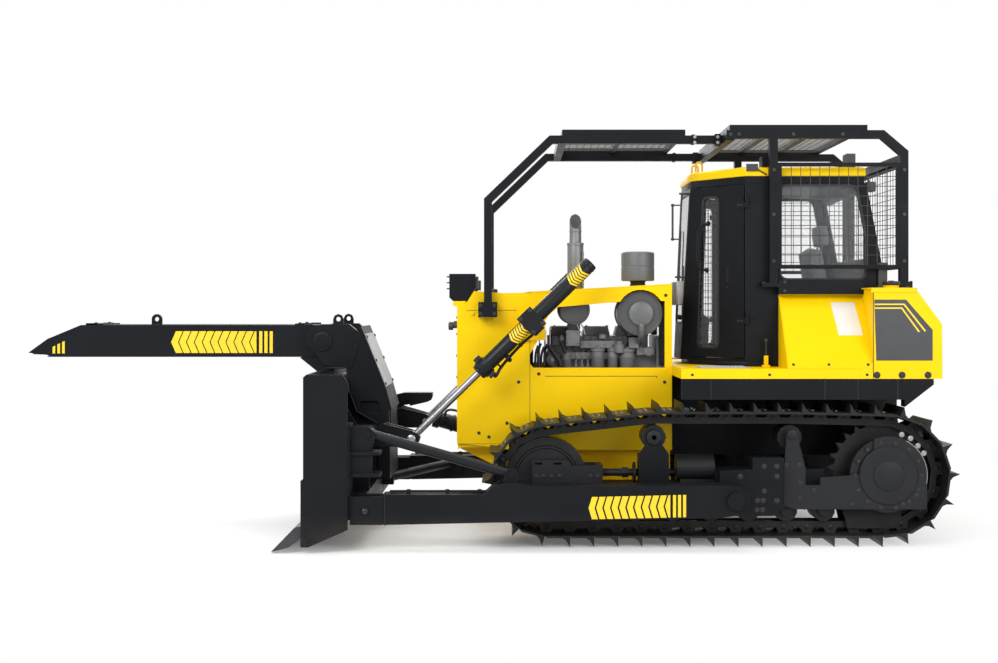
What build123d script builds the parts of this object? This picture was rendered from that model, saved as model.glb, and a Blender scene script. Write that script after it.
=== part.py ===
from build123d import *
import math
import os

os.makedirs("parts", exist_ok=True)

# Crawler bulldozer for clearing land, with a pusher boom above its blade. All sizes are in millimetres.
# X runs from the blade (negative) to the drawbar (positive), Y from the machine's left side (negative)
# to its right side (positive), and Z up from the ground. SHIFT_X centres the finished machine over the
# origin. Left-hand pieces are drawn, and right-hand ones are their mirror images.

SHIFT_X = 270.0
RUN_CLEAR = 0.3         # turning faces to what they turn on
WORK_CLEAR = 5.0        # moving pieces to what they pass
PLATE_T = 25.0          # structural plate
SHEET_T = 12.0          # body sheet with its flanges
ARC_STEP = 15.0         # degrees to each flat of a rounded outline

# ---- tracks: the pin line is the loop through all the chain's pins
TRACK_Y = 940.0         # centre plane of each track
SHOE_W = 510.0
SHOE_T = 18.0
SHOES = 42
LUG_H = 70.0
LUG_T = 44.0            # at its root
SHOE_IN = 44.0          # pin line to the shoe plate's inner face
RAIL_H = 45.0           # pin line to the rail's rolling face
RAIL_IN = 38.0          # rail's inner and outer faces, from the track's centre plane
RAIL_OUT = 86.0
IDLER_X = 290.0
IDLER_R = 385.0         # to the pin line
SPROCKET_X = 2987.0
SPROCKET_R = 425.0      # to the pin line
TEETH = 27
CARRIER_Z = 850.0
CARRIER_R = 97.0
CARRIER_BEND = 150.0    # pin line's radius over a carrier roller
ROLLER_R = 92.0
ROLLER_COUNT = 7

PIN_Z = SHOE_IN + SHOE_T + LUG_H
TRACK_OUT = TRACK_Y + SHOE_W / 2
IDLER_Z = PIN_Z + IDLER_R
SPROCKET_Z = PIN_Z + SPROCKET_R
CARRIER_XS = (IDLER_X + 855.0, SPROCKET_X - 759.0)
ROLLER_Z = PIN_Z + RAIL_H + ROLLER_R + RUN_CLEAR
ROLLER_X0 = IDLER_X + 410.0
ROLLER_X1 = SPROCKET_X - 487.0

# ---- track frames
FRAME_HALF = 110.0      # half width of the frame's box
FRAME_Z0 = ROLLER_Z + ROLLER_R + 10.0
FRAME_Z1 = 480.0
FRAME_Z2 = 597.0        # raised rear length
GUARD_Z0 = 300.0        # lower edge of the frame's side plates
GUARD_T = 22.0
GUIDE_Z0 = 126.0        # lower edge of their ends, beside the chain's links
YOKE_IN = 18.0          # frame's side in to the yoke's plates
HUB_HALF = 150.0        # half length of the sprocket's hub
HUB_COVER_R = 310.0
HUB_COVER_GAP = 60.0    # frame's side to the outer cover plate
CARRIER_HUB_R = 62.0
RECOIL_R = 105.0
RECOIL_L = 302.0
FRAME_IN = TRACK_Y - FRAME_HALF - GUARD_T
FRAME_OUT = TRACK_Y + FRAME_HALF + GUARD_T

# ---- push arms and their rear trunnions
ARM_GAP = 45.0          # shoe ends to the arm
ARM_W = 200.0
PIVOT_AHEAD = 1253.0    # arm's pivot ahead of the sprocket
PIVOT_Z = 396.0
TRUNNION_R = 45.0
PIN_CLEAR = 0.3
ARM_EYE_R = 112.0
ARM_X0 = -954.0         # where the arm's box ends in front
PIVOT_X = SPROCKET_X - PIVOT_AHEAD
ARM_Y0 = TRACK_OUT + ARM_GAP
ARM_Y1 = ARM_Y0 + ARM_W
RECOIL_X1 = PIVOT_X - 98.0      # rear of the recoil spring, where the frame steps up
RECOIL_X0 = RECOIL_X1 - RECOIL_L

# ---- blade
BLADE_END_T = 20.0
BLADE_OVERHANG = 60.0   # blade ends past the arms
BLADE_TOP = 1369.0
BLADE_REAR = -1240.0    # rear edge of the end plates
BLADE_BACK = -1120.0    # rear face of the beams behind the moldboard
CORNER_BACK = -1228.0   # the same where the arms join
SKIN_T = 25.0
FRONT_PIN = (-1113.0, 321.0)
FRONT_PIN_R = 32.0
FORK_T = 58.0           # each plate that holds the arm's tongue
TONGUE_R = 80.0
BRACE_PIN = (-1095.0, 905.0)
CORNER_TOP = 985.0
BLADE_HALF = ARM_Y1 + BLADE_OVERHANG
SKIN_SAG = 118.0        # moldboard's curve behind the line from its top to its foot
SKIN_TOP_X = -1535.0
SKIN_FOOT = (-1575.0, 118.0)
SKIN_FLATS = 12

# ---- mast and pusher boom
BOOM_PIN = (-1590.0, 1595.0)
BOOM_PIN_R = 40.0
BOOM_HALF = 300.0
BOOM_TOP = 1734.0
BOOM_BOTTOM = 1462.0
BOOM_TIP_X = -4116.0
BOOM_NOSE_X = -3953.0
BOOM_ROOT_R = 128.0
MAST_GAP = 10.0         # boom's root to each cheek
MAST_T = 80.0           # each cheek
CHEEK_R = 140.0
EYE_R = 44.0
EYE_BORE_R = 20.0
EYE_T = 30.0
MAST_IN = BOOM_HALF + MAST_GAP
MAST_HALF = MAST_IN + MAST_T

# ---- lift cylinders
LIFT_Y = 850.0
LIFT_TOP = (174.0, 1772.0)
LIFT_EYE = (-796.0, 823.0)
BARREL_R = 62.0
ROD_R = 29.0
GLAND_AT = 600.0        # trunnion to the gland's face, along the cylinder
BARREL_UP = 630.0       # trunnion to the barrel's closed end
YOKE_HALF = 95.0        # half width of the block round the barrel
LIFT_PIN_R = 38.0
ROD_EYE_R = 58.0
ROD_EYE_HALF = 32.0
LUG_GAP = 18.0          # rod's eye to each lug

# ---- engine housing
NOSE_X = -442.0
HOOD_X0 = 166.0
HOOD_X1 = 1352.0
HOOD_HALF = 560.0
HOOD_Z0 = 2010.0        # top, at the front and at the rear
HOOD_Z1 = 2078.0
PANEL_Z0 = 694.0        # lower side panels
PANEL_Z1 = 1381.0
WALL_T = 20.0
STACK = (565.0, -180.0, 70.0)       # exhaust stack: x, y, radius
STACK_TIP_R = 51.0
STACK_TOP = 2690.0
INTAKE = (1092.0, -290.0, 60.0)     # air intake's neck: x, y, radius
CLEANER_Z = 1835.0
CLEANER_R = 185.0
MUFFLER_Z = 1865.0
MUFFLER_R = 125.0
HOLE_CLEAR = 12.0

# ---- chassis, deck and cab
FRAME_W = 420.0         # half width of the front frame and the main frame
MAIN_Z0 = 640.0
DECK_Z0 = 1320.0
DECK_Z1 = 1400.0
DECK_HALF = 1150.0
FLOOR_T = 40.0
CAB_HALF = 780.0
CAB_WALL = 40.0
CAB_X0 = 1402.0         # front of the cab at its floor
CAB_X1 = 2871.0         # rear of the cab's foot
CAB_TOP = 2900.0
ROOF_H = 140.0
CONSOLE_TOP = 1991.0
TANK_TOP = 2031.0
TANK_X1 = 3415.0
TANK_Y0 = 600.0
DOOR_X0 = 1528.0
DOOR_X1 = 1937.0
DOOR_Z0 = 1519.0
DOOR_Z1 = CAB_TOP - 89.0
DOOR_T = 40.0
DOOR_PROUD = 10.0       # door's outer face past the cab's wall
HINGE_R = 13.0
HINGE_H = 90.0
HINGE_ZS = (DOOR_Z0 + 110, DOOR_Z1 - 200)
PANE_T = 8.0

# ---- guard frames
TUBE = 66.0
CAGE_GAP = 20.0         # cab's wall to the cage's tubes
CAGE_RISE = 283.0       # cab's roof to the cage's top
CAGE_X0 = 1756.0
POST_X = 2141.0
CAGE_REAR_X = 3200.0
SCREEN_T = 20.0
SCREEN_Z0 = 2198.0
SCREEN_BAR = 32.0
SWEEP_X = -182.0
SWEEP_GAP = 47.0        # hood's side to the sweep tubes
CAGE_TOP = CAB_TOP + ROOF_H + CAGE_RISE
SCREEN_Z1 = CAGE_TOP - 263.0
CAGE_Y0 = CAB_HALF + CAGE_GAP
CAGE_Y1 = CAGE_Y0 + TUBE
SWEEP_Y0 = HOOD_HALF + SWEEP_GAP
SWEEP_Y1 = SWEEP_Y0 + TUBE


# ================================================================ shared shapes


def block(x0, x1, y0, y1, z0, z1):
    return Solid.make_box(x1 - x0, y1 - y0, z1 - z0, Plane(origin=(x0, y0, z0)))


def corners(points):
    """The points of a closed outline. An entry (x, z) is a corner; (xm, zm, x, z) is an arc through (xm, zm) to (x, z)."""
    line = []
    here = points[0]
    for point in points[1:] + [points[0]]:
        if len(point) == 4:
            arc = Edge.make_three_point_arc(Vector(*here), Vector(*point[:2]), Vector(*point[2:]))
            turn = abs(arc.length / arc.radius)
            steps = max(2, round(turn / math.radians(ARC_STEP)))
            line += [(arc.position_at(i / steps).X, arc.position_at(i / steps).Y) for i in range(1, steps)]
        line.append(point[-2:])
        here = point[-2:]
    return line


def outline_face(points, y):
    return Face(Wire.make_polygon([Vector(x, y, z) for x, z in corners(points)], close=True))


def slab(points, y0, y1):
    """A side outline in X and Z, carried across from y0 to y1; its arcs are written as in corners()."""
    return Solid.extrude(outline_face(points, y0), Vector(0, y1 - y0, 0))


def front_slab(points, x0, x1):
    """A front outline in Y and Z, carried back from x0 to x1."""
    face = Face(Wire.make_polygon([Vector(x0, y, z) for y, z in points], close=True))
    return Solid.extrude(face, Vector(x1 - x0, 0, 0))


def pole(a, b, radius):
    start = Vector(*a)
    along = Vector(*b) - start
    return Solid.make_cylinder(radius, along.length, Plane(origin=start, z_dir=along))


def drum(x, z, radius, y0, y1):
    return pole((x, y0, z), (x, y1, z), radius)


def faceted(a, b, radius, sides=16):
    """A many-sided pole, for rounds that repeat."""
    start = Vector(*a)
    along = Vector(*b) - start
    plane = Plane(origin=start, z_dir=along)
    corners = []
    for i in range(sides):
        angle = 2 * math.pi * (i + 0.5) / sides
        corners.append(plane.from_local_coords(Vector(radius * math.cos(angle), radius * math.sin(angle), 0)))
    return Solid.extrude(Face(Wire.make_polygon(corners, close=True)), along)


def wheel(x, z, radius, half, sides):
    """A many-sided roller across the left track's centre plane."""
    return faceted((x, -TRACK_Y - half, z), (x, half - TRACK_Y, z), radius, sides)


def around(x, z, radius, angle):
    return (x + radius * math.cos(angle), z + radius * math.sin(angle))


def heading(a, b):
    return math.atan2(b[1] - a[1], b[0] - a[0])


def bar(points, width, y0, y1):
    """A bar of this width along an open line in X and Z, mitred at its corners."""
    upper, lower = [], []
    last = len(points) - 1
    for i, (x, z) in enumerate(points):
        before = heading(points[max(i - 1, 0)], points[max(i, 1)])
        after = heading(points[min(i, last - 1)], points[min(i + 1, last)])
        middle = (before + after) / 2
        reach = width / 2 / math.cos((after - before) / 2)
        upper.append((x - reach * math.sin(middle), z + reach * math.cos(middle)))
        lower.append((x + reach * math.sin(middle), z - reach * math.cos(middle)))
    return slab(upper + lower[::-1], y0, y1)


def frame_ring(x0, x1, z0, z1, width, y0, y1):
    """A flat rectangular frame standing in X and Z."""
    inner = block(x0 + width, x1 - width, y0 - 1, y1 + 1, z0 + width, z1 - width)
    return block(x0, x1, y0, y1, z0, z1).cut(inner)


def mirrored(shapes):
    return [shape.mirror(Plane.XZ) for shape in shapes]


def both(*shapes):
    return list(shapes) + mirrored(shapes)


def solids_of(shape):
    if isinstance(shape, (list, tuple)):
        return [solid for item in shape for solid in solids_of(item)]
    return list(shape.solids())


def join(first, *others):
    return first.fuse(*others).clean()


def write(name, *shapes):
    moved = [s.moved(Location((SHIFT_X, 0, 0))) for s in solids_of(shapes)]
    export_step(Compound(children=moved), f"parts/{name}.step")
    print(f"{name}: {len(moved)} solids")


# ================================================================ tracks


def loop_segments():
    """The pin line as straight runs and bends: (length, radius, x, z, heading) for each."""
    wheels = [
        (IDLER_X, IDLER_Z, IDLER_R),
        (SPROCKET_X, SPROCKET_Z, SPROCKET_R),
        (CARRIER_XS[1], CARRIER_Z, CARRIER_BEND),
        (CARRIER_XS[0], CARRIER_Z, CARRIER_BEND),
    ]
    runs = []
    for (x, z, r), (nx, nz, nr) in zip(wheels, wheels[1:] + wheels[:1]):
        span = math.hypot(nx - x, nz - z)
        turn = heading((x, z), (nx, nz)) + math.asin((r - nr) / span)
        start = (x + r * math.sin(turn), z - r * math.cos(turn))
        runs.append((math.sqrt(span**2 - (r - nr) ** 2), turn, start))
    segments = []
    for i, (length, turn, start) in enumerate(runs):
        x, z, r = wheels[(i + 1) % len(wheels)]
        bend = (runs[(i + 1) % len(runs)][1] - turn) % (2 * math.pi)
        segments.append((length, 0.0, start[0], start[1], turn))
        segments.append((bend * r, r, x, z, turn))
    return segments


def loop_pins():
    """The pins' places, evenly spaced round the loop."""
    segments = loop_segments()
    pitch = sum(segment[0] for segment in segments) / SHOES
    pins = []
    for i in range(SHOES):
        left = i * pitch
        for length, radius, x, z, turn in segments:
            if left < length:
                break
            left -= length
        if radius:
            angle = turn + left / radius
            pins.append((x + radius * math.sin(angle), z - radius * math.cos(angle)))
        else:
            pins.append((x + left * math.cos(turn), z + left * math.sin(turn)))
    return pins


def link_outline(pins, marks, joint_out=None):
    """Carry one link's marks round the loop.

    A mark is (share of the pitch, millimetres further along, millimetres out from the pin line), and
    joint_out adds a point that far outside each pin.
    """
    outline = []
    count = len(pins)
    for i in range(count):
        a, b, c = pins[i], pins[(i + 1) % count], pins[(i + 2) % count]
        turn = heading(a, b)
        for share, along, out in marks:
            t = math.dist(a, b) * share + along
            outline.append((a[0] + t * math.cos(turn) + out * math.sin(turn),
                            a[1] + t * math.sin(turn) - out * math.cos(turn)))
        if joint_out is not None:
            half = ((heading(b, c) - turn + math.pi) % (2 * math.pi) - math.pi) / 2
            reach = joint_out / math.cos(half)
            outline.append((b[0] + reach * math.sin(turn + half), b[1] - reach * math.cos(turn + half)))
    return outline


def ring(outer, inner, y0, y1):
    return slab(outer, y0, y1).cut(slab(inner, y0 - 1, y1 + 1))


def make_track(pins):
    """One closed chain: plates with a lug on each, and two rails whose links are open under the plates."""
    plate_out = SHOE_IN + SHOE_T
    shoe_marks = [(0, 3, plate_out), (1, -6 - LUG_T, plate_out), (1, -8, plate_out + LUG_H), (1, -4, SHOE_IN + 6)]
    shoes = ring(link_outline(pins, shoe_marks), link_outline(pins, [], SHOE_IN), -TRACK_OUT, SHOE_W - TRACK_OUT)
    sunk = SHOE_IN + SHOE_T / 4
    windows = {-RAIL_OUT: [(0.18, 0, sunk), (0.30, 0, 6), (0.70, 0, 6), (0.82, 0, sunk)],
               RAIL_IN: [(0.18, 0, sunk), (0.5, 0, -4), (0.82, 0, sunk)]}
    bed = link_outline(pins, [], -RAIL_H)
    rails = [ring(link_outline(pins, marks), bed, y - TRACK_Y, y - TRACK_Y + RAIL_OUT - RAIL_IN)
             for y, marks in windows.items()]
    return shoes.fuse(*rails)


def make_idler(pins):
    """The front wheel, flat where the straight links lie on it, dished on its outside round the hub."""
    chord = math.dist(pins[0], pins[1])
    face = math.sqrt(IDLER_R**2 - (chord / 2) ** 2) - RAIL_H - RUN_CLEAR
    rim = wheel(IDLER_X, IDLER_Z, face, RAIL_OUT, 32)
    hub = wheel(IDLER_X, IDLER_Z, 90, FRAME_HALF - YOKE_IN, 12)
    outer = -TRACK_Y - RAIL_OUT
    dish = faceted((IDLER_X, outer, IDLER_Z), (IDLER_X, outer + 28, IDLER_Z), face - 60, 20)
    return join(rim.cut(dish), hub)


def make_sprocket():
    step = 2 * math.pi / TEETH
    outline = []
    for i in range(TEETH):
        for share, out in ((-0.28, -36), (0, 12), (0.28, -36)):
            angle = (i + share) * step
            outline.append(around(SPROCKET_X, SPROCKET_Z, SPROCKET_R + out, angle))
    rim = slab(outline, -TRACK_Y - 30, 30 - TRACK_Y)
    return join(rim, wheel(SPROCKET_X, SPROCKET_Z, 160, HUB_HALF, 20))


def make_rollers():
    """Rollers under the frame and the two that carry the chain's upper run."""
    gap = (ROLLER_X1 - ROLLER_X0) / (ROLLER_COUNT - 1)
    places = [(ROLLER_X0 + gap * i, ROLLER_Z, ROLLER_R) for i in range(ROLLER_COUNT)]
    places += [(x, CARRIER_Z, CARRIER_R) for x in CARRIER_XS]
    return [wheel(x, z, r, FRAME_HALF, 12) for x, z, r in places]


def make_track_frame():
    """The frame's box with a long plate each side: it covers the roller ends, and guides the chain at both ends."""
    y0, y1 = -TRACK_Y - FRAME_HALF, FRAME_HALF - TRACK_Y
    box = slab([(ROLLER_X0, FRAME_Z0), (ROLLER_X0, FRAME_Z1), (RECOIL_X1, FRAME_Z1), (RECOIL_X1, FRAME_Z2),
                (ROLLER_X1, FRAME_Z2), (ROLLER_X1, FRAME_Z0)], y0, y1)
    front, rear = IDLER_X, SPROCKET_X + 126
    side = [(front + 20, GUIDE_Z0), (front, GUIDE_Z0 + 60), (front, GUIDE_Z0 + 104), (ROLLER_X0 - 50, FRAME_Z0 + 60),
            (ROLLER_X0, FRAME_Z1), (ROLLER_X1, FRAME_Z1), (ROLLER_X1 + 120, FRAME_Z1 - 80),
            (ROLLER_X1 + 240, GUARD_Z0), (rear, GUARD_Z0),
            (rear, GUIDE_Z0 + 70), (rear - 20, GUIDE_Z0 + 22, rear - 70, GUIDE_Z0), (rear - 430, GUIDE_Z0),
            (rear - 470, GUARD_Z0), (ROLLER_X0 + 40, GUARD_Z0), (ROLLER_X0 - 40, GUIDE_Z0)]
    plates = [slab(side, y0 - GUARD_T, y0), slab(side, y1, y1 + GUARD_T)]
    x, r = CARRIER_XS[0], CARRIER_HUB_R
    tower = slab([(x - 120, FRAME_Z1 - 60), (x - 120, 715), (x - r, 800), (x - r, CARRIER_Z),
                  (x, CARRIER_Z + r, x + r, CARRIER_Z), (x + r, 800), (x + 120, 715), (x + 120, FRAME_Z1 - 60)],
                 y0 - GUARD_T, y0)
    return join(box, *plates, tower)


def make_tensioner():
    """The idler's yoke with its bearing blocks, the adjuster rod and the recoil spring's housing."""
    z0, z1 = FRAME_Z1, IDLER_Z + 107
    plates = []
    for y0, y1 in ((-FRAME_OUT, YOKE_IN - TRACK_Y - FRAME_HALF), (FRAME_HALF - YOKE_IN - TRACK_Y, GUARD_T + FRAME_HALF - TRACK_Y)):
        side = slab([(IDLER_X - 115, z0), (IDLER_X - 115, z1 + 45), (IDLER_X + 163, z1 + 45),
                     (IDLER_X + 200, z1), (IDLER_X + 448, z1), (IDLER_X + 448, z0)], y0, y1)
        plates.append(side)
    slots = [block(x, x + 62, -FRAME_OUT - 1, -TRACK_Y, z1 + 8, z1 + 26) for x in (IDLER_X - 95, IDLER_X + 60)]
    plates[0] = plates[0].cut(*slots)
    bridge = block(IDLER_X + 390, IDLER_X + 448, YOKE_IN - TRACK_Y - FRAME_HALF, FRAME_HALF - YOKE_IN - TRACK_Y, z0, z1)
    y, z = -TRACK_Y, FRAME_Z1 + RECOIL_R + 12
    rod = faceted((IDLER_X + 448, y, z - 40), (RECOIL_X0, y, z - 40), 27, 12)
    flange = block(RECOIL_X0 - 300, RECOIL_X0 - 262, y - 95, y + 95, FRAME_Z1, z + RECOIL_R)
    housing = faceted((RECOIL_X0, y, z), (RECOIL_X1, y, z), RECOIL_R, 24)
    saddle = block(RECOIL_X0 + 30, RECOIL_X1, y - 60, y + 60, FRAME_Z1, z)
    return join(plates[0], plates[1], bridge, rod, flange, housing, saddle)


def make_hub_cover():
    """The rear outer plate: it carries the rear carrier roller's axle and covers the sprocket's hub."""
    r, x, z = HUB_COVER_R, SPROCKET_X, SPROCKET_Z
    cx, hub_r = CARRIER_XS[1], 47.0
    foot = cx - 66.0
    left = x - 112.0
    low_x = x + r * 0.985
    outline = [(foot + 90, GUARD_Z0 - 10), (foot, GUARD_Z0 + 20), (foot, FRAME_Z2), (cx - hub_r, 826),
               (cx - hub_r, CARRIER_Z + 30), (cx, CARRIER_Z + 30 + hub_r, cx + hub_r, CARRIER_Z + 30), (cx + hub_r, 826),
               (cx + 70, 757), (cx + 104, 616), (cx + 104, FRAME_Z1), (cx + 221, FRAME_Z1), (cx + 221, FRAME_Z2 - 56),
               (left, FRAME_Z2 - 27), (left, z + math.sqrt(r**2 - (left - x) ** 2)),
               (x + r * 0.75, z + r * 0.66, low_x, z), (low_x, GUARD_Z0 - 10)]
    y = -FRAME_OUT - HUB_COVER_GAP
    plate = slab(outline, y - GUARD_T, y)
    disc = faceted((x, y, z), (x, -TRACK_Y - HUB_HALF, z), r - 12, 24)
    spacer = block(foot + 20, ROLLER_X1, y, -FRAME_OUT, GUARD_Z0 + 50, FRAME_Z1)
    axle = faceted((cx, y, CARRIER_Z), (cx, -TRACK_Y - FRAME_HALF, CARRIER_Z), 40, 12)
    return join(plate, disc, spacer, axle)


def make_trunnion():
    """The arm's pivot on the track frame: a bracket, the pin and its end cap."""
    y1 = -FRAME_OUT
    back = -ARM_Y0 + WORK_CLEAR
    outline = [(PIVOT_X - 88, 250), (PIVOT_X - 88, 600), (PIVOT_X + 166, 615), (PIVOT_X + 166, 705),
               (PIVOT_X + 409, 705), (PIVOT_X + 409, 320), (PIVOT_X + 330, 250)]
    bracket = slab(outline, back, y1)
    pin = drum(PIVOT_X, PIVOT_Z, TRUNNION_R, -ARM_Y1 - 12, back)
    cap = faceted((PIVOT_X, -ARM_Y1 - 30, PIVOT_Z), (PIVOT_X, -ARM_Y1 - 12, PIVOT_Z), TRUNNION_R + 25, 12)
    return join(bracket, pin, cap)


# ================================================================ chassis and engine housing


def make_front_frame():
    """An open trough under the engine, its belly sloping up to the nose, on a cross bar between the track frames."""
    outline = [(NOSE_X + 8, PANEL_Z0 + 50), (NOSE_X + 8, 700), (-167, 570), (120, 409), (HOOD_X1, 409),
               (HOOD_X1, PANEL_Z0 + 50)]
    room = [(-350, PANEL_Z0 + 60), (-350, 720), (-150, 600), (130, 409 + PLATE_T), (HOOD_X1 - PLATE_T, 409 + PLATE_T),
            (HOOD_X1 - PLATE_T, PANEL_Z0 + 60)]
    trough = slab(outline, -FRAME_W, FRAME_W)
    flanges = [slab([(NOSE_X + 8, 700), (NOSE_X + 8, PANEL_Z0 + 50), (HOOD_X1, PANEL_Z0 + 50),
                     (HOOD_X1, PANEL_Z0 + 20), (NOSE_X + 40, PANEL_Z0 + 20)], y0, y1)
               for y0, y1 in ((WALL_T - HOOD_HALF, -FRAME_W), (FRAME_W, HOOD_HALF - WALL_T))]
    x = CARRIER_XS[0] - 330.0
    bar_outline = [(-FRAME_IN, 400), (-FRAME_IN, FRAME_Z1), (-FRAME_W, 425), (FRAME_W, 425), (FRAME_IN, FRAME_Z1),
                   (FRAME_IN, 400), (FRAME_W, 330), (-FRAME_W, 330)]
    cross = front_slab(bar_outline, x, x + 110)
    return join(trough.cut(slab(room, PLATE_T - FRAME_W, FRAME_W - PLATE_T)), *flanges, cross)


def make_main_frame():
    """The rear frame round the transmission, with the bars that reach the track frames."""
    shell = block(HOOD_X1, 3260, -FRAME_W, FRAME_W, MAIN_Z0, DECK_Z0)
    room = block(HOOD_X1 + PLATE_T, 3270, PLATE_T - FRAME_W, FRAME_W - PLATE_T, MAIN_Z0 + PLATE_T, DECK_Z0 + 1)
    pivot_bar = block(2000, 2180, -FRAME_IN, FRAME_IN, FRAME_Z1 - 20, MAIN_Z0)
    return join(shell.cut(room), pivot_bar)


def make_gearcase():
    """The transmission and steering case as one heavy block."""
    return block(2450, 3260, PLATE_T - FRAME_W, FRAME_W - PLATE_T, MAIN_Z0 + PLATE_T, DECK_Z0)


def make_final_drive():
    """The drive's round case inside the sprocket, on the arm that comes down from the main frame."""
    case = faceted((SPROCKET_X, HUB_HALF - TRACK_Y, SPROCKET_Z), (SPROCKET_X, -FRAME_W, SPROCKET_Z), 290, 32)
    arm = block(SPROCKET_X - 230, SPROCKET_X + 230, -600, -FRAME_W, SPROCKET_Z, DECK_Z0 - 120)
    return join(case, arm)


def make_drawbar():
    """A stiff tongue behind the main frame with the hole for a towed implement's pin."""
    tongue = block(3260, 3510, -110, 110, MAIN_Z0 - 30, MAIN_Z0 + 60)
    web = slab([(3260, MAIN_Z0 + 60), (3260, 900), (3340, MAIN_Z0 + 60)], -60, 60)
    return join(tongue, web).cut(pole((3430, 0, MAIN_Z0 - 40), (3430, 0, MAIN_Z0 + 70), 30))


def make_radiator_guard():
    """The nose: side walls and a sloped top round the radiator, open to the engine behind."""
    z1 = HOOD_Z0 - 6
    outline = [(NOSE_X, PANEL_Z0 + 50), (NOSE_X, 1912), (NOSE_X + 83, 1929), (NOSE_X + 142, 2021), (-50, z1),
               (HOOD_X0, HOOD_Z0), (HOOD_X0, PANEL_Z0), (40, PANEL_Z0), (NOSE_X + 60, PANEL_Z0 + 50)]
    inner = [(NOSE_X + 60, PANEL_Z0 - 10), (NOSE_X + 60, 1890), (NOSE_X + 165, z1 - WALL_T),
             (HOOD_X0 + 1, HOOD_Z0 - WALL_T), (HOOD_X0 + 1, PANEL_Z0 - 10)]
    shell = slab(outline, -HOOD_HALF, HOOD_HALF)
    room = slab(inner, WALL_T - HOOD_HALF, HOOD_HALF - WALL_T)
    window = block(NOSE_X - 1, NOSE_X + 61, -430, 430, 1050, 1850)
    lip = slab([(NOSE_X - 34, 1896), (NOSE_X - 34, 1937), (NOSE_X + 83, 1937), (NOSE_X, 1896)],
               -HOOD_HALF, HOOD_HALF)
    return join(shell.cut(room, window), lip)


def make_grille():
    """Sloped louvres across the nose's window, each held at both ends."""
    count = 12
    gap = 800 / count
    return [slab([(NOSE_X + 8, z), (NOSE_X + 8, z + 14), (NOSE_X + 52, z + 40), (NOSE_X + 52, z + 26)], -430, 430)
            for z in (1062 + gap * i for i in range(count))]


def make_radiator():
    return block(NOSE_X + 60, NOSE_X + 190, -470, 470, PANEL_Z0 + 50, 1880)


def make_side_panel():
    """The lower side panel, swept up in front to close the nose's side."""
    outline = [(HOOD_X0, PANEL_Z0), (HOOD_X0, 1470), (HOOD_X0 + 4, PANEL_Z1 + 30), (HOOD_X0 + 30, PANEL_Z1),
               (HOOD_X1, PANEL_Z1), (HOOD_X1, PANEL_Z0)]
    return slab(outline, -HOOD_HALF, WALL_T - HOOD_HALF)


def make_hood():
    """The top cover, with deep edges that clear the air cleaner, and its two rear posts."""
    outline = [(HOOD_X0, HOOD_Z0), (HOOD_X1, HOOD_Z1), (HOOD_X1, 1940), (885, 1929), (401, 1887),
               (292, 1775, HOOD_X0 + 68, 1612), (HOOD_X0, 1490)]
    inner = [(HOOD_X0 - 1, HOOD_Z0 - WALL_T), (HOOD_X1 - WALL_T, HOOD_Z1 - WALL_T), (HOOD_X1 - WALL_T, 1480),
             (HOOD_X0 - 1, 1480)]
    shell = slab(outline, -HOOD_HALF, HOOD_HALF)
    room = slab(inner, WALL_T - HOOD_HALF, HOOD_HALF - WALL_T)
    holes = [faceted((x, y, 1950), (x, y, 2150), r + HOLE_CLEAR, 20) for x, y, r in (STACK, INTAKE)]
    arch = faceted((INTAKE[0], -HOOD_HALF - 1, CLEANER_Z), (INTAKE[0], WALL_T - HOOD_HALF + 1, CLEANER_Z),
                   CLEANER_R + HOLE_CLEAR, 28)
    posts = both(block(HOOD_X1 - 60, HOOD_X1, -HOOD_HALF, 30 - HOOD_HALF, PANEL_Z1, 1945))
    return join(shell.cut(room, arch, *holes), *posts)


ENGINE_X0 = 300.0
ENGINE_X1 = 1250.0
ENGINE_HALF = 230.0
BLOCK_TOP = 1500.0


def make_engine():
    """The engine as it shows: block, sump, head, rocker covers, front pulley and flywheel housing."""
    sump = slab([(ENGINE_X0 + 100, 620), (ENGINE_X0, 900), (ENGINE_X1, 900), (ENGINE_X1 - 250, 620)], -180, 180)
    body = block(ENGINE_X0, ENGINE_X1, -ENGINE_HALF, ENGINE_HALF, 900, BLOCK_TOP)
    head = block(ENGINE_X0 + 30, ENGINE_X1 - 60, -190, 190, BLOCK_TOP, 1640)
    count = 3
    pitch = (ENGINE_X1 - ENGINE_X0 - 110) / count
    covers = [slab([(x, 1640), (x + 20, 1720), (x + pitch - 60, 1720), (x + pitch - 40, 1640)], -110, 110)
              for x in (ENGINE_X0 + 50 + pitch * i for i in range(count))]
    pulley = faceted((ENGINE_X0 - 80, 0, 1150), (ENGINE_X0, 0, 1150), 130)
    mounts = both(block(ENGINE_X0 + 120, ENGINE_X0 + 240, -FRAME_W + PLATE_T, -ENGINE_HALF, 920, 980),
                  block(ENGINE_X1 - 240, ENGINE_X1 - 120, -FRAME_W + PLATE_T, -ENGINE_HALF, 920, 980))
    feet = both(block(ENGINE_X0 + 120, ENGINE_X0 + 240, -FRAME_W, PLATE_T - FRAME_W, PANEL_Z0 + 50, 980),
                block(ENGINE_X1 - 240, ENGINE_X1 - 120, -FRAME_W, PLATE_T - FRAME_W, PANEL_Z0 + 50, 980))
    bulkhead = block(ENGINE_X1, HOOD_X1 - PLATE_T, -300, 300, 800, 1640)
    return join(body, sump, head, *covers, pulley, *mounts, *feet, bulkhead)


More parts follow.
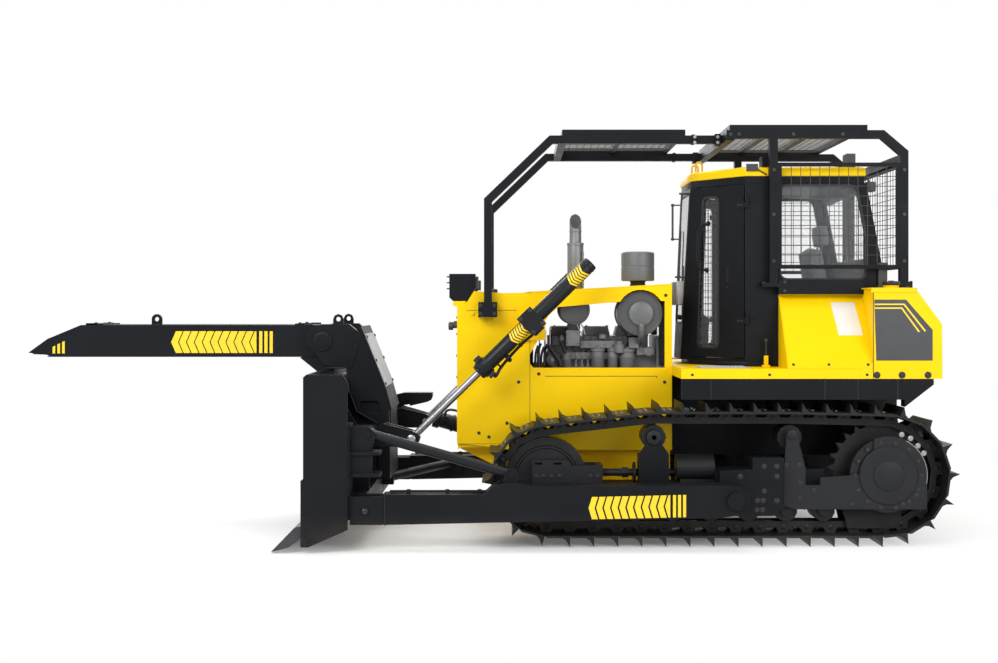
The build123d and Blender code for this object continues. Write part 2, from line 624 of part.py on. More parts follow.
def make_engine_filters():
    """Filters in a row under their header on the left of the engine, and the injection pump behind them."""
    y1 = -ENGINE_HALF
    header = block(ENGINE_X0 + 30, ENGINE_X1 - 180, y1 - 60, y1, 1440, BLOCK_TOP)
    canisters = []
    for x, r, top in ((384, 42, 1490), (478, 42, 1510), (748, 55, 1548), (875, 40, 1550), (999, 60, 1542)):
        canisters.append(faceted((x, y1 - 90, 1300), (x, y1 - 90, top), r, 12))
    pump = block(480, 700, y1 - 130, y1, 1220, 1380)
    return join(header, *canisters, pump)


def make_manifold():
    """The exhaust manifold along the head, its riser to the silencer and the pipe across to the rear."""
    y1 = -190.0
    trunk = block(ENGINE_X0 + 60, ENGINE_X0 + 700, y1 - 90, y1, 1555, 1640)
    riser = block(ENGINE_X0 + 190, ENGINE_X0 + 300, y1 - 110, y1 - 10, 1640, MUFFLER_Z - 40)
    crossover = faceted((ENGINE_X0 + 700, y1 - 45, 1600), (ENGINE_X1 - 170, y1 - 45, 1600), 36, 10)
    return [trunk, riser, crossover]


def make_muffler():
    """The silencer lying across the engine on its manifold, and its stack: wide below, narrow above, cut slanting."""
    x, y, r = STACK
    can = faceted((ENGINE_X0 + 245, -480, MUFFLER_Z), (ENGINE_X0 + 245, 100, MUFFLER_Z), MUFFLER_R, 24)
    pipe = faceted((x, y, MUFFLER_Z), (x, y, 2450), r, 20)
    tip = faceted((x, y, 2450), (x, y, STACK_TOP), STACK_TIP_R, 16)
    slant = slab([(x - 80, STACK_TOP - 20), (x - 80, STACK_TOP + 10), (x + 80, STACK_TOP + 10),
                  (x + 80, STACK_TOP - 130), (x + 20, STACK_TOP - 20)], y - 80, y + 80)
    hollow = faceted((x, y, 2500), (x, y, STACK_TOP + 1), STACK_TIP_R - 8, 16)
    return join(can, pipe, tip, *make_manifold()).cut(slant, hollow)


def make_air_cleaner():
    """The air cleaner's drum with its lid, the neck through the hood and the pre-cleaner's bowl."""
    x, y, r = INTAKE
    can = faceted((x, -520, CLEANER_Z), (x, -120, CLEANER_Z), CLEANER_R, 28)
    lid = faceted((x, -535, CLEANER_Z), (x, -520, CLEANER_Z), 107, 24)
    neck = faceted((x, y, CLEANER_Z), (x, y, 2110), r, 16)
    bowl = faceted((x, y, 2110), (x, y, 2357), 141, 28)
    cradle = block(x - 90, x + 90, -300, -125, 1640, CLEANER_Z - CLEANER_R + 45)
    return join(can, lid, neck, bowl, cradle)


# ================================================================ deck, tanks and cab


def make_deck():
    """The platform over the tracks, a tray turned down at its edges."""
    tray = block(HOOD_X1, CAB_X1, -DECK_HALF, DECK_HALF, DECK_Z0, DECK_Z1)
    rooms = [block(HOOD_X1 + SHEET_T, CAB_X1 - SHEET_T, y0, y1, DECK_Z0 - 1, DECK_Z1 - SHEET_T)
             for y0, y1 in ((SHEET_T - DECK_HALF, -FRAME_W), (FRAME_W, DECK_HALF - SHEET_T))]
    return tray.cut(*rooms)


def make_skirt():
    """The dark panel hung from the deck's edge, curved at its rear."""
    z0 = DECK_Z0 - 165.0
    return slab([(HOOD_X1, z0), (HOOD_X1, DECK_Z0), (3237, DECK_Z0), (3200, 1215, 3110, z0)],
                -DECK_HALF, SHEET_T - DECK_HALF)


def make_console():
    """The side box beside the cab, its outer face leaning in."""
    outline = [(-CAB_HALF, DECK_Z1), (-DECK_HALF + 2, DECK_Z1), (-DECK_HALF + 2, DECK_Z1 + 20),
               (-CAB_HALF - 6, CONSOLE_TOP), (-CAB_HALF, CONSOLE_TOP)]
    return front_slab(outline, 2195, CAB_X1)


def make_tank():
    outline = [(CAB_X1, DECK_Z0), (CAB_X1, TANK_TOP), (TANK_X1 - 210, TANK_TOP), (TANK_X1 - 4, 1752),
               (TANK_X1, DECK_Z0)]
    filler = faceted((CAB_X1 + 170, -DECK_HALF + 110, TANK_TOP), (CAB_X1 + 170, -DECK_HALF + 110, TANK_TOP + 30), 60)
    return join(slab(outline, -DECK_HALF, -TANK_Y0), filler)


def make_rear_body():
    outline = [(CAB_X1, DECK_Z0), (CAB_X1, TANK_TOP), (TANK_X1 - 230, TANK_TOP), (TANK_X1 - 60, 1800),
               (TANK_X1 - 60, DECK_Z0)]
    return slab(outline, -TANK_Y0, TANK_Y0)


def make_cab_floor():
    return block(CAB_X0, CAB_X1, -CAB_HALF, CAB_HALF, DECK_Z1, DECK_Z1 + FLOOR_T)


CAB_LEAN = 69.0         # windscreen's lean, floor to roof
CAB_FOOT = DECK_Z1 + FLOOR_T
REAR_X0 = 2916.0        # rear wall at the roof and below its bend
REAR_X1 = 3040.0
REAR_BEND = 2250.0


def make_cab_side():
    outline = [(CAB_X0, CAB_FOOT), (CAB_X0 + CAB_LEAN, CAB_TOP), (REAR_X0, CAB_TOP), (REAR_X1, REAR_BEND),
               (REAR_X1, TANK_TOP), (CAB_X1, TANK_TOP), (CAB_X1, CAB_FOOT)]
    y0, y1 = -CAB_HALF, CAB_WALL - CAB_HALF
    door = slab([(DOOR_X0 - 8, DOOR_Z0 - 7), (DOOR_X0 + 22, DOOR_Z1 + 8), (DOOR_X1 + 8, DOOR_Z1 + 8),
                 (DOOR_X1 + 8, DOOR_Z0 - 7)], y0 - 1, y1 + 1)
    window = slab(SIDE_WINDOW, y0 - 1, y1 + 1)
    hinge_y = y0 - DOOR_PROUD - HINGE_R
    knuckles = []
    for z in HINGE_ZS:
        low = z + HINGE_H + RUN_CLEAR
        knuckles.append(faceted((DOOR_X1, hinge_y, low), (DOOR_X1, hinge_y, low + 45), HINGE_R, 10))
        knuckles.append(block(DOOR_X1, DOOR_X1 + 60, y0 - DOOR_PROUD - 8, y0, low, low + 45))
    return join(slab(outline, y0, y1).cut(door, window), *knuckles)


SIDE_WINDOW = [(2215, 2124), (2215, CAB_TOP - 24), (2828, CAB_TOP - 24), (2900, CAB_TOP - 400), (2900, 2124)]
SCREEN_LOW = 1760.0     # windscreen's lower edge
SCREEN_HIGH = CAB_TOP - 60.0
REAR_LOW = REAR_BEND + 40.0


def make_cab_front():
    """The leaning front wall between the side walls, with the windscreen's opening."""
    half = CAB_HALF - CAB_WALL
    x = CAB_X0
    wall = slab([(x, CAB_FOOT), (x + CAB_LEAN, CAB_TOP), (x + CAB_LEAN + 40, CAB_TOP), (x + 40, CAB_FOOT)],
                -half, half)
    return wall.cut(block(x - 20, x + 200, 60 - half, half - 60, SCREEN_LOW, SCREEN_HIGH))


def make_cab_rear():
    half = CAB_HALF - CAB_WALL
    wall = slab([(REAR_X0, CAB_TOP), (REAR_X1, REAR_BEND), (REAR_X1, TANK_TOP), (REAR_X1 - 40, TANK_TOP),
                 (REAR_X1 - 40, REAR_BEND - 5), (REAR_X0 - 40, CAB_TOP)], -half, half)
    return wall.cut(block(REAR_X0 - 60, REAR_X1 + 20, 60 - half, half - 60, REAR_LOW, SCREEN_HIGH))


def make_cab_roof():
    z = CAB_TOP
    outline = [(CAB_X0 + 11, z), (CAB_X0 + 5, z + 25), (CAB_X0 + 100, z + ROOF_H), (REAR_X0 - 30, z + ROOF_H),
               (REAR_X0 - 7, z + ROOF_H - 25), (REAR_X0 - 7, z)]
    return slab(outline, -CAB_HALF, CAB_HALF)


def make_cab_glass():
    """Side panes, windscreen and rear pane, each filling its opening."""
    y0 = (CAB_WALL - PANE_T) / 2 - CAB_HALF
    sides = both(slab(SIDE_WINDOW, y0, y0 + PANE_T))
    half = CAB_HALF - CAB_WALL - 60
    slope = CAB_LEAN / (CAB_TOP - CAB_FOOT)

    def front_x(z):
        return CAB_X0 + 16 + slope * (z - CAB_FOOT)

    low, high = SCREEN_LOW, SCREEN_HIGH
    screen = slab([(front_x(low), low), (front_x(high), high), (front_x(high) + PANE_T, high),
                   (front_x(low) + PANE_T, low)], -half, half)
    lean = (REAR_X1 - REAR_X0) / (CAB_TOP - REAR_BEND)

    def rear_x(z):
        return REAR_X0 - 24 + lean * (CAB_TOP - z)

    rear = slab([(rear_x(REAR_LOW), REAR_LOW), (rear_x(high), high), (rear_x(high) + PANE_T, high),
                 (rear_x(REAR_LOW) + PANE_T, REAR_LOW)], -half, half)
    return sides + [screen, rear]


DOOR_WINDOW = [(1560, DOOR_Z0 + 56), (1590, DOOR_Z1 - 36), (1716, DOOR_Z1 - 36), (1700, DOOR_Z0 + 56)]


def make_door():
    """A flush door with a tall window in its front half, its pull handle and its two hinge knuckles."""
    y0 = -CAB_HALF - DOOR_PROUD
    y1 = y0 + DOOR_T
    edge = DOOR_X1 - WORK_CLEAR
    leaf = slab([(DOOR_X0, DOOR_Z0), (DOOR_X0 + 30, DOOR_Z1), (edge, DOOR_Z1), (edge, DOOR_Z0)], y0, y1)
    handle = [block(1550, 1570, y0 - 45, y0, z, z + 18) for z in (2160, 2490)]
    grip = block(1550, 1570, y0 - 63, y0 - 45, 2160, 2508)
    hinges = []
    for z in HINGE_ZS:
        hinges.append(faceted((DOOR_X1, y0 - HINGE_R, z), (DOOR_X1, y0 - HINGE_R, z + HINGE_H), HINGE_R, 10))
        hinges.append(block(DOOR_X1 - 70, DOOR_X1, y0 - 8, y0, z, z + HINGE_H))
    return join(leaf.cut(slab(DOOR_WINDOW, y0 - 1, y1 + 1)), *handle, grip, *hinges)


def make_door_pane():
    y0 = -CAB_HALF - DOOR_PROUD + (DOOR_T - PANE_T) / 2
    return slab(DOOR_WINDOW, y0, y0 + PANE_T)


def make_seat():
    z = CAB_FOOT
    pedestal = block(2260, 2560, -170, 170, z, z + 260)
    cushion = slab([(2150, z + 260), (2150, z + 400), (2640, z + 370), (2640, z + 260)], -250, 250)
    back = slab([(2560, z + 375), (2650, z + 940), (2745, z + 940), (2690, z + 260), (2640, z + 260)], -230, 230)
    headrest = block(2655, 2740, -120, 120, z + 940, z + 1090)
    arms = both(block(2280, 2640, -330, -250, z + 480, z + 540))
    stays = both(block(2560, 2640, -330, -250, z + 280, z + 480))
    return join(pedestal, cushion, back, headrest, *arms, *stays)


def make_controls():
    z = CAB_FOOT
    dash = slab([(1500, z), (1500, z + 380), (1560, z + 420), (1680, z + 380), (1640, z)], -420, 420)
    levers = [faceted((1900 + 40 * i, -430, z + 40), (1860 + 60 * i, -430, z + 520), 12, 8) for i in range(2)]
    stand = block(1880, 2000, -470, -390, z, z + 200)
    pedals = [slab([(1640, z + 120), (1760, z + 60), (1770, z + 75), (1640, z + 140)], y - 45, y + 45)
              for y in (-160, 160)]
    return [join(dash, *pedals), join(stand, *levers)]


# ================================================================ guard frames


def make_sweeps():
    """Two bent tubes from the nose up and over the engine, on feet beside the nose, with their cross tubes."""
    z = CAGE_TOP - TUBE / 2 - 18
    line = [(SWEEP_X, 1804), (SWEEP_X, 2770), (340, z), (CAGE_X0, z)]
    tubes = both(bar(line, TUBE, -SWEEP_Y1, -SWEEP_Y0))
    feet = both(block(SWEEP_X - 80, SWEEP_X + 76, -SWEEP_Y1 - 10, -HOOD_HALF, 1804, 1929))
    cross = block(400, 400 + TUBE, -SWEEP_Y0, SWEEP_Y0, z - TUBE / 2, z + TUBE / 2)
    return join(tubes[0], tubes[1], *feet, cross)


def make_front_screen():
    """A raised frame on the sweeps, with bars that carry its mesh."""
    z0 = CAGE_TOP - 18
    x0, x1 = 431.0, 1450.0
    y = SWEEP_Y1 - 10
    outer = block(x0, x1, -y, y, z0, z0 + 50)
    rooms = []
    for i in range(2):
        a = x0 + 40 + i * (x1 - x0 - 40) / 2
        rooms.append(block(a, a + (x1 - x0 - 40) / 2 - 40, 40 - y, y - 40, z0 - 1, z0 + 51))
    return outer.cut(*rooms)


def make_cage():
    """The cab's guard: side tubes, a front beam, front posts on rails beside the cab, and rear posts on the tanks."""
    z = CAGE_TOP - TUBE / 2
    front = block(CAGE_X0, CAGE_X0 + TUBE, -CAGE_Y1, CAGE_Y1, CAGE_TOP - TUBE - 17, CAGE_TOP)
    line = [(CAGE_X0 + TUBE, z), (3024, z), (CAGE_REAR_X, CAGE_TOP - 183), (CAGE_REAR_X, TANK_TOP + 40)]
    side = bar(line, TUBE, -CAGE_Y1, -CAGE_Y0)
    post = block(POST_X - TUBE / 2, POST_X + TUBE / 2, -CAGE_Y1, -CAGE_Y0, CONSOLE_TOP + 90, z)
    base = block(POST_X - 95, POST_X + 59, -CAGE_Y1, -CAB_HALF, CONSOLE_TOP + 59, CONSOLE_TOP + 94)
    rail = block(POST_X + 40, CAB_X1, -CAGE_Y1, -CAB_HALF, CONSOLE_TOP, CONSOLE_TOP + 119)
    foot = block(CAGE_REAR_X - 60, CAGE_REAR_X + 60, -CAGE_Y1 - 20, -CAGE_Y0 + 20, TANK_TOP, TANK_TOP + 60)
    rear = block(CAGE_REAR_X - TUBE / 2, CAGE_REAR_X + TUBE / 2, -CAGE_Y0, CAGE_Y0, SCREEN_Z1, SCREEN_Z1 + TUBE)
    return join(front, rear, *both(side, post, base, rail, foot))


def make_cage_roof():
    """A raised roof frame on the cage, with three lengths open for its mesh."""
    x0, x1 = CAGE_X0 + 26, 2901.0
    outer = block(x0, x1, -CAGE_Y1, CAGE_Y1, CAGE_TOP, CAGE_TOP + 43)
    count = 3
    pitch = (x1 - x0 - 45) / count
    rooms = [block(x0 + 45 + pitch * i, x0 + pitch * (i + 1), 45 - CAGE_Y1, CAGE_Y1 - 45, CAGE_TOP - 1, CAGE_TOP + 44)
             for i in range(count)]
    return outer.cut(*rooms)


def make_visor():
    """A sloping frame in front of the cage, down to the front edge of the cab's roof."""
    half, x1, z1 = SWEEP_Y0 - 12, CAGE_X0, CAGE_TOP - 20
    x0, z0 = CAB_X0 + 195, CAB_TOP + ROOF_H + 52
    panel = slab([(x0, z0), (x0, z0 + 30), (x1, z1), (x1, z1 - 40)], -half, half)
    return panel.cut(block(x0 + 40, x1 - 40, -half + 40, -20, z0, z1), block(x0 + 40, x1 - 40, 20, half - 40, z0, z1))


def make_side_screen():
    return frame_ring(POST_X + TUBE / 2, CAGE_REAR_X - TUBE / 2, SCREEN_Z0, SCREEN_Z1, SCREEN_BAR,
                      -CAGE_Y1, SCREEN_T - CAGE_Y1)


def make_rear_screen():
    x0 = CAGE_REAR_X - SCREEN_T / 2
    outer = block(x0, x0 + SCREEN_T, -CAGE_Y0, CAGE_Y0, SCREEN_Z0, SCREEN_Z1)
    return outer.cut(block(x0 - 1, x0 + SCREEN_T + 1, SCREEN_BAR - CAGE_Y0, CAGE_Y0 - SCREEN_BAR,
                           SCREEN_Z0 + SCREEN_BAR, SCREEN_Z1 - SCREEN_BAR))


def make_headlamp():
    """A lamp box on the nose's top corner, chamfered behind, with its face sunk."""
    z0, z1 = 1937.0, 2165.0
    x = NOSE_X - 65
    box = slab([(x, z0 + 30), (x, z1), (x + 218, z1), (x + 218, z0 + 110), (x + 148, z0), (x + 32, z0)],
               -HOOD_HALF + 8, -HOOD_HALF + 168)
    face = block(x - 1, x + 25, -HOOD_HALF + 22, -HOOD_HALF + 154, z0 + 50, z1 - 20)
    return box.cut(face)


def make_roof_lamp():
    return block(2065, 2135, -CAB_HALF + 20, -CAB_HALF + 150, CAB_TOP + ROOF_H, CAB_TOP + ROOF_H + 80)


# ================================================================ blade, arms, mast and boom


def make_arm():
    """The push arm: a tapered box with an eye on its trunnion, a saddle for the brace and a front tongue."""
    outline = [(ARM_X0, 214), (ARM_X0, 446), (-199, 446), (-130, 508), (-38, 536), (60, 536), (153, 508),
               (PIVOT_X - 60, 515), (PIVOT_X, PIVOT_Z + ARM_EYE_R), (PIVOT_X + ARM_EYE_R, PIVOT_Z, PIVOT_X, PIVOT_Z - ARM_EYE_R),
               (PIVOT_X - 120, 268)]
    beam = slab(outline, -ARM_Y1, -ARM_Y0)
    bore = drum(PIVOT_X, PIVOT_Z, TRUNNION_R + PIN_CLEAR, -ARM_Y1 - 1, -ARM_Y0 + 1)
    x, z = FRONT_PIN
    r = TONGUE_R
    tongue = slab([(ARM_X0, z - r), (x - r / 2, z - r), (x - r, z - r / 2), (x - r, z + r / 2), (x - r / 2, z + r),
                   (ARM_X0, z + r)], FORK_T + RUN_CLEAR - ARM_Y1, -FORK_T - RUN_CLEAR - ARM_Y0)
    eye = faceted((x, -ARM_Y1, z), (x, -ARM_Y0, z), FRONT_PIN_R + RUN_CLEAR, 12)
    return join(beam, tongue).cut(bore, eye)


def make_arm_fork():
    """Fork plates on the blade's corner with the arm's pin, and two shelves with a rib above them."""
    x, z = FRONT_PIN
    foot = [(CORNER_BACK, z - 107), (CORNER_BACK, z + 108), (x + 138, z + 108), (x + 138, z - 107)]
    plates = [slab(foot, -ARM_Y1, FORK_T - ARM_Y1), slab(foot, -FORK_T - ARM_Y0, -ARM_Y0)]
    shelves = [block(CORNER_BACK, -1000, -ARM_Y1, -ARM_Y0, top - PLATE_T, top) for top in (605, 774)]
    rib = block(CORNER_BACK, -1060, PLATE_T - ARM_Y1, 2 * PLATE_T - ARM_Y1, 605, 774 - PLATE_T)
    pin = faceted((x, -ARM_Y1 - 12, z), (x, -ARM_Y0 + 12, z), FRONT_PIN_R, 12)
    return [*plates, *shelves, rib, pin]


def skin_x(z):
    """Rear face of the moldboard at this height: an arc over the line from its top to its foot."""
    foot_x, foot_z = SKIN_FOOT
    half = math.dist((SKIN_TOP_X, BLADE_TOP), SKIN_FOOT) / 2
    radius = (half**2 + SKIN_SAG**2) / (2 * SKIN_SAG)
    middle = (BLADE_TOP + foot_z) / 2
    share = (z - foot_z) / (BLADE_TOP - foot_z)
    chord_x = foot_x + share * (SKIN_TOP_X - foot_x)
    return chord_x + math.sqrt(radius**2 - (z - middle) ** 2) - radius + SKIN_SAG


def skin_line(z0, z1, back, flats):
    """Points up the moldboard, this far behind its rear face."""
    heights = [z0 + (z1 - z0) * i / flats for i in range(flats + 1)]
    return [(skin_x(z) + back, z) for z in heights]


def behind_skin(z0, z1, x1, flats=1):
    """The outline from the moldboard, let into its thickness, back to x1."""
    return skin_line(z0, z1, -SKIN_T / 2, flats) + [(x1, z1), (x1, z0)]


def make_blade():
    """Moldboard on box beams and ribs, closed by end plates, with the corners that take the arms."""
    inner = BLADE_HALF - BLADE_END_T
    back = skin_line(SKIN_FOOT[1], BLADE_TOP, 0, SKIN_FLATS)
    front = skin_line(SKIN_FOOT[1], BLADE_TOP, -SKIN_T, SKIN_FLATS)
    skin = slab(back + front[::-1], -inner, inner)
    top, low, rear = BLADE_TOP, 52.0, BLADE_REAR
    end = [(-1579, top - 20), (-1556, top), (rear - 42, top), (rear - 5, top - 45, rear, top - 150), (rear, 184),
           (-1540, low), (-1599, low), (-1599, 560), (-1579, 575)]
    ends = both(slab(end, -BLADE_HALF, -inner))
    mid = ARM_Y0 - PLATE_T
    beams = [slab(behind_skin(z0, z1, BLADE_BACK), -mid, mid) for z0, z1 in ((250, 430), (760, 900))]
    rail = slab(behind_skin(1230, 1290, -1380), -inner, inner)
    ribs = [slab(behind_skin(430, 760, BLADE_BACK), y - PLATE_T / 2, y + PLATE_T / 2) for y in (-1060, -520, 520, 1060)]
    sides = both(slab(behind_skin(250, CORNER_TOP, CORNER_BACK, 3), -ARM_Y1, -mid))
    return join(skin, *ends, *beams, rail, *ribs, *sides, *both(*make_arm_fork()))


def make_cutting_edge():
    """The bolted edge along the blade's foot, ground to a tip that reaches nearly to the ground."""
    return slab([(-1632, 208), (-1600, 208), (-1600, 118), (-1690, 48), (-1831, 12), (-1655, 193)],
                -BLADE_HALF + BLADE_END_T, BLADE_HALF - BLADE_END_T)


def make_mast():
    """Two tapered cheeks behind the blade, tied by a rear cover, with a stop under the boom, its pin and two eyes."""
    x, z = BOOM_PIN
    r = CHEEK_R
    outline = [(x - r, z), (x - r * 0.7, z + r * 0.71, x, z + 147), (-1363, z + 147), (-1267, 1661), (-1076, 1184),
               (-1028, 1008), (-1017, 832), (-1017, 430), (BLADE_BACK, 430), (BLADE_BACK, 900),
               (-1300, 1000), (-1380, 1230), (-1380, BLADE_TOP), (-1500, BLADE_TOP), (-1590, z - 178)]
    pocket = slab([(-1271, 989), (-1271, 1091), (-1123, 1091), (-1100, 1050), (-1100, 989)],
                  -MAST_HALF - 1, -MAST_HALF + 30)
    cheek = slab(outline, -MAST_HALF, -MAST_IN).cut(pocket)
    cover = slab([(-1290, 1716), (-1267, 1661), (-1076, 1184), (-1028, 1008), (-1003, 1014), (-1052, 1194),
                  (-1243, 1671), (-1266, 1726)], -MAST_HALF + 20, MAST_HALF - 20)
    wall = block(-1042, -1017, -MAST_IN, MAST_IN, 430, 1030)
    stop = slab([(-1794, BOOM_BOTTOM - WORK_CLEAR), (-1631, 1326), (-1560, BLADE_TOP), (-1400, BLADE_TOP),
                 (-1400, BOOM_BOTTOM - WORK_CLEAR)], -MAST_IN, MAST_IN)
    pin = drum(x, z, BOOM_PIN_R, -MAST_HALF - 18, MAST_HALF + 18)
    ex, ez, half = x + 132, z + 190, EYE_R
    ear = [(ex - half, z + 147), (ex - half, ez), (ex - half * 0.7, ez + half * 0.7), (ex, ez + half),
           (ex + half * 0.7, ez + half * 0.7), (ex + half, ez), (ex + half, z + 147)]
    y = -MAST_HALF + 20
    eye = slab(ear, y, y + EYE_T).cut(faceted((ex, y - 1, ez), (ex, y + EYE_T + 1, ez), EYE_BORE_R, 12))
    return join(*both(cheek, eye), cover, wall, stop, pin)


def make_boom():
    """A box beam with a rounded root on its pin and a spade nose, pads on top and one lifting eye."""
    x, z = BOOM_PIN
    r = BOOM_ROOT_R
    body = slab([(BOOM_TIP_X, 1497), (BOOM_NOSE_X, 1615), (-3664, BOOM_TOP), (x, BOOM_TOP), (x + r * 0.9, z + r * 0.75, x + r, z),
                 (x + r * 0.7, z - r * 0.72, x, BOOM_BOTTOM), (BOOM_NOSE_X + 30, BOOM_BOTTOM), (BOOM_NOSE_X, 1478)],
                -BOOM_HALF, BOOM_HALF)
    under = slab([(BOOM_TIP_X + 30, 1480), (BOOM_NOSE_X, 1590), (BOOM_NOSE_X, 1470), (BOOM_NOSE_X - 60, 1470)],
                 -BOOM_HALF + 40, BOOM_HALF - 40)
    pads = [block(x0, x1, -BOOM_HALF + 60, BOOM_HALF - 60, BOOM_TOP, BOOM_TOP + 12)
            for x0, x1 in ((-3644, -3491), (-1847, -1769))]
    ex, ez = -3095.0, BOOM_TOP + 48
    eye = slab([(ex - EYE_R, BOOM_TOP), (ex - EYE_R, ez), (ex, ez + EYE_R, ex + EYE_R, ez), (ex + EYE_R, BOOM_TOP)],
               -EYE_T / 2, EYE_T / 2)
    bore = drum(x, z, BOOM_PIN_R + PIN_CLEAR, -BOOM_HALF - 1, BOOM_HALF + 1)
    return join(body, *pads, eye).cut(bore, drum(ex, ez, EYE_BORE_R, -EYE_T, EYE_T))


ARM_MID = (ARM_Y0 + ARM_Y1) / 2
BRACE_FOOT = (10.0, 590.0)
BRACE_GAP = 42.0        # half the space between a pair of fork plates


def make_brace_lugs():
    """Fork plates for the brace: one pair on the blade's corner, one on the arm's saddle."""
    x, z = BRACE_PIN
    r = 60.0
    front = [(CORNER_BACK, z - 131), (CORNER_BACK, z + r), (x + 10, z + r), (x + r, z + 10), (x + r, z - 20),
             (x + 20, z - 131)]
    fx, fz = BRACE_FOOT
    rear = [(fx - 70, 536), (fx - 50, fz + 15), (fx - 18, fz + 55), (fx + 18, fz + 55), (fx + 50, fz + 15),
            (fx + 50, 536)]
    places = (-ARM_MID - BRACE_GAP - PLATE_T, BRACE_GAP - ARM_MID)
    pins = [faceted((px, -ARM_MID - BRACE_GAP - PLATE_T - 14, pz), (px, BRACE_GAP + PLATE_T + 14 - ARM_MID, pz), 24, 8)
            for px, pz in (BRACE_PIN, BRACE_FOOT)]
    pairs = [[slab(outline, y, y + PLATE_T) for y in places] for outline in (front, rear)]
    return [join(pair[0], pair[1], pin) for pair, pin in zip(pairs, pins)]


def make_brace():
    """The left brace: a plain tube between two eyes."""
    eyes, bores = brace_eyes(-ARM_MID)
    tube = faceted(brace_point(0, -ARM_MID), brace_point(1, -ARM_MID), 40, 16)
    return join(tube, *eyes).cut(*bores)


def brace_eyes(y):
    """The eyes at both ends of a brace, turning on the fork pins."""
    half = BRACE_GAP - RUN_CLEAR
    eyes = [faceted((x, y - half, z), (x, y + half, z), 48, 12) for x, z in (BRACE_PIN, BRACE_FOOT)]
    bores = [faceted((x, y - half - 1, z), (x, y + half + 1, z), 24 + RUN_CLEAR, 8) for x, z in (BRACE_PIN, BRACE_FOOT)]
    return eyes, bores


def brace_point(share, y):
    (x0, z0), (x1, z1) = BRACE_PIN, BRACE_FOOT
    return (x0 + share * (x1 - x0), y, z0 + share * (z1 - z0))


def make_tilt_cylinder():
    """The right brace is a cylinder: rod forward, thick barrel behind, a bent guard over the rod."""
    eyes, bores = brace_eyes(ARM_MID)
    rod = faceted(brace_point(0, ARM_MID), brace_point(0.4, ARM_MID), 36, 16)
    barrel = faceted(brace_point(0.33, ARM_MID), brace_point(0.93, ARM_MID), 75, 20)
    tail = faceted(brace_point(0.9, ARM_MID), brace_point(1, ARM_MID), 40, 12)
    gx, gz = BRACE_PIN[0] + 90, BRACE_PIN[1]
    guard = slab([(gx - 20, gz + 130), (gx - 20, gz + 150), (gx + 250, gz + 150), (gx + 250, gz + 110),
                  (gx + 236, gz + 78), (gx + 200, gz + 60), (gx + 30, gz + 20), (gx + 30, gz + 40), (gx + 195, gz + 78),
                  (gx + 225, gz + 105), (gx + 225, gz + 130)], ARM_MID - 70, ARM_MID + 70)
    x, z = BRACE_PIN
    web = slab([(x - 15, z + 30), (x - 15, z + 130), (gx - 20, gz + 150), (gx + 60, gz + 40), (x + 30, z + 20)],
               ARM_MID - 30, ARM_MID + 30)
    return join(rod, barrel, tail, guard, web, *eyes).cut(*bores)


def make_diagonal_brace():
    """The bar across from the blade's middle to the right arm, flanged at the arm."""
    z = FRONT_PIN[1] + 60
    a = (BLADE_BACK + 50, 120.0, z)
    b = (-560.0, ARM_Y0 - 30.0, z)
    lug = block(BLADE_BACK, BLADE_BACK + 90, 70, 170, z - 60, 425)
    flange = block(-660, -460, ARM_Y0 - 30, ARM_Y0, z - 90, z + 50)
    return join(faceted(a, b, 40, 16), lug, flange)


def make_lift_lugs():
    """Two plates on the blade's beam each side of the rod's eye, and the pin between them."""
    x, z = LIFT_EYE
    r = 66.0
    outline = [(BLADE_BACK, 760), (BLADE_BACK, 900), (-1017, 945), (x, z + r), (x + r * 0.8, z + r * 0.6),
               (x + r, z), (x + r * 0.8, z - r * 0.6), (x, z - r), (-1000, 760)]
    inner = ROD_EYE_HALF + LUG_GAP
    return [slab(outline, y, y + PLATE_T) for y in (-LIFT_Y - inner - PLATE_T, inner - LIFT_Y)]


# ================================================================ lift cylinders


def lift_point(along):
    """A point on the left lift cylinder's line, this far from its trunnion towards the rod's eye."""
    (x0, z0), (x1, z1) = LIFT_TOP, LIFT_EYE
    length = math.dist(LIFT_TOP, LIFT_EYE)
    return (x0 + (x1 - x0) * along / length, -LIFT_Y, z0 + (z1 - z0) * along / length)


def make_barrel():
    """The cylinder's barrel with its gland, held at its middle by a block on a trunnion pin."""
    tube = faceted(lift_point(-BARREL_UP), lift_point(GLAND_AT), BARREL_R, 20)
    gland = faceted(lift_point(GLAND_AT - 90), lift_point(GLAND_AT - 20), BARREL_R + 14, 20)
    angle = math.degrees(heading(LIFT_TOP, LIFT_EYE))
    yoke = block(-75, 75, -YOKE_HALF, YOKE_HALF, -100, 100)
    yoke = yoke.moved(Location((LIFT_TOP[0], -LIFT_Y, LIFT_TOP[1]), (0, -angle, 0)))
    pin = drum(*LIFT_TOP, LIFT_PIN_R, -LIFT_Y, -HOOD_HALF - 45)
    bore = pole(lift_point(-BARREL_UP + 40), lift_point(GLAND_AT + 1), ROD_R + RUN_CLEAR)
    return join(tube, gland, yoke, pin).cut(bore)


def make_rod():
    """The rod and its eye, which turns between the blade's lugs."""
    rod = pole(lift_point(20), lift_point(math.dist(LIFT_TOP, LIFT_EYE) - 40), ROD_R)
    x, z = LIFT_EYE
    eye = faceted((x, -LIFT_Y - ROD_EYE_HALF, z), (x, ROD_EYE_HALF - LIFT_Y, z), ROD_EYE_R, 20)
    bore = faceted((x, -LIFT_Y - ROD_EYE_HALF - 1, z), (x, ROD_EYE_HALF + 1 - LIFT_Y, z), 32, 16)
    return join(rod, eye).cut(bore)


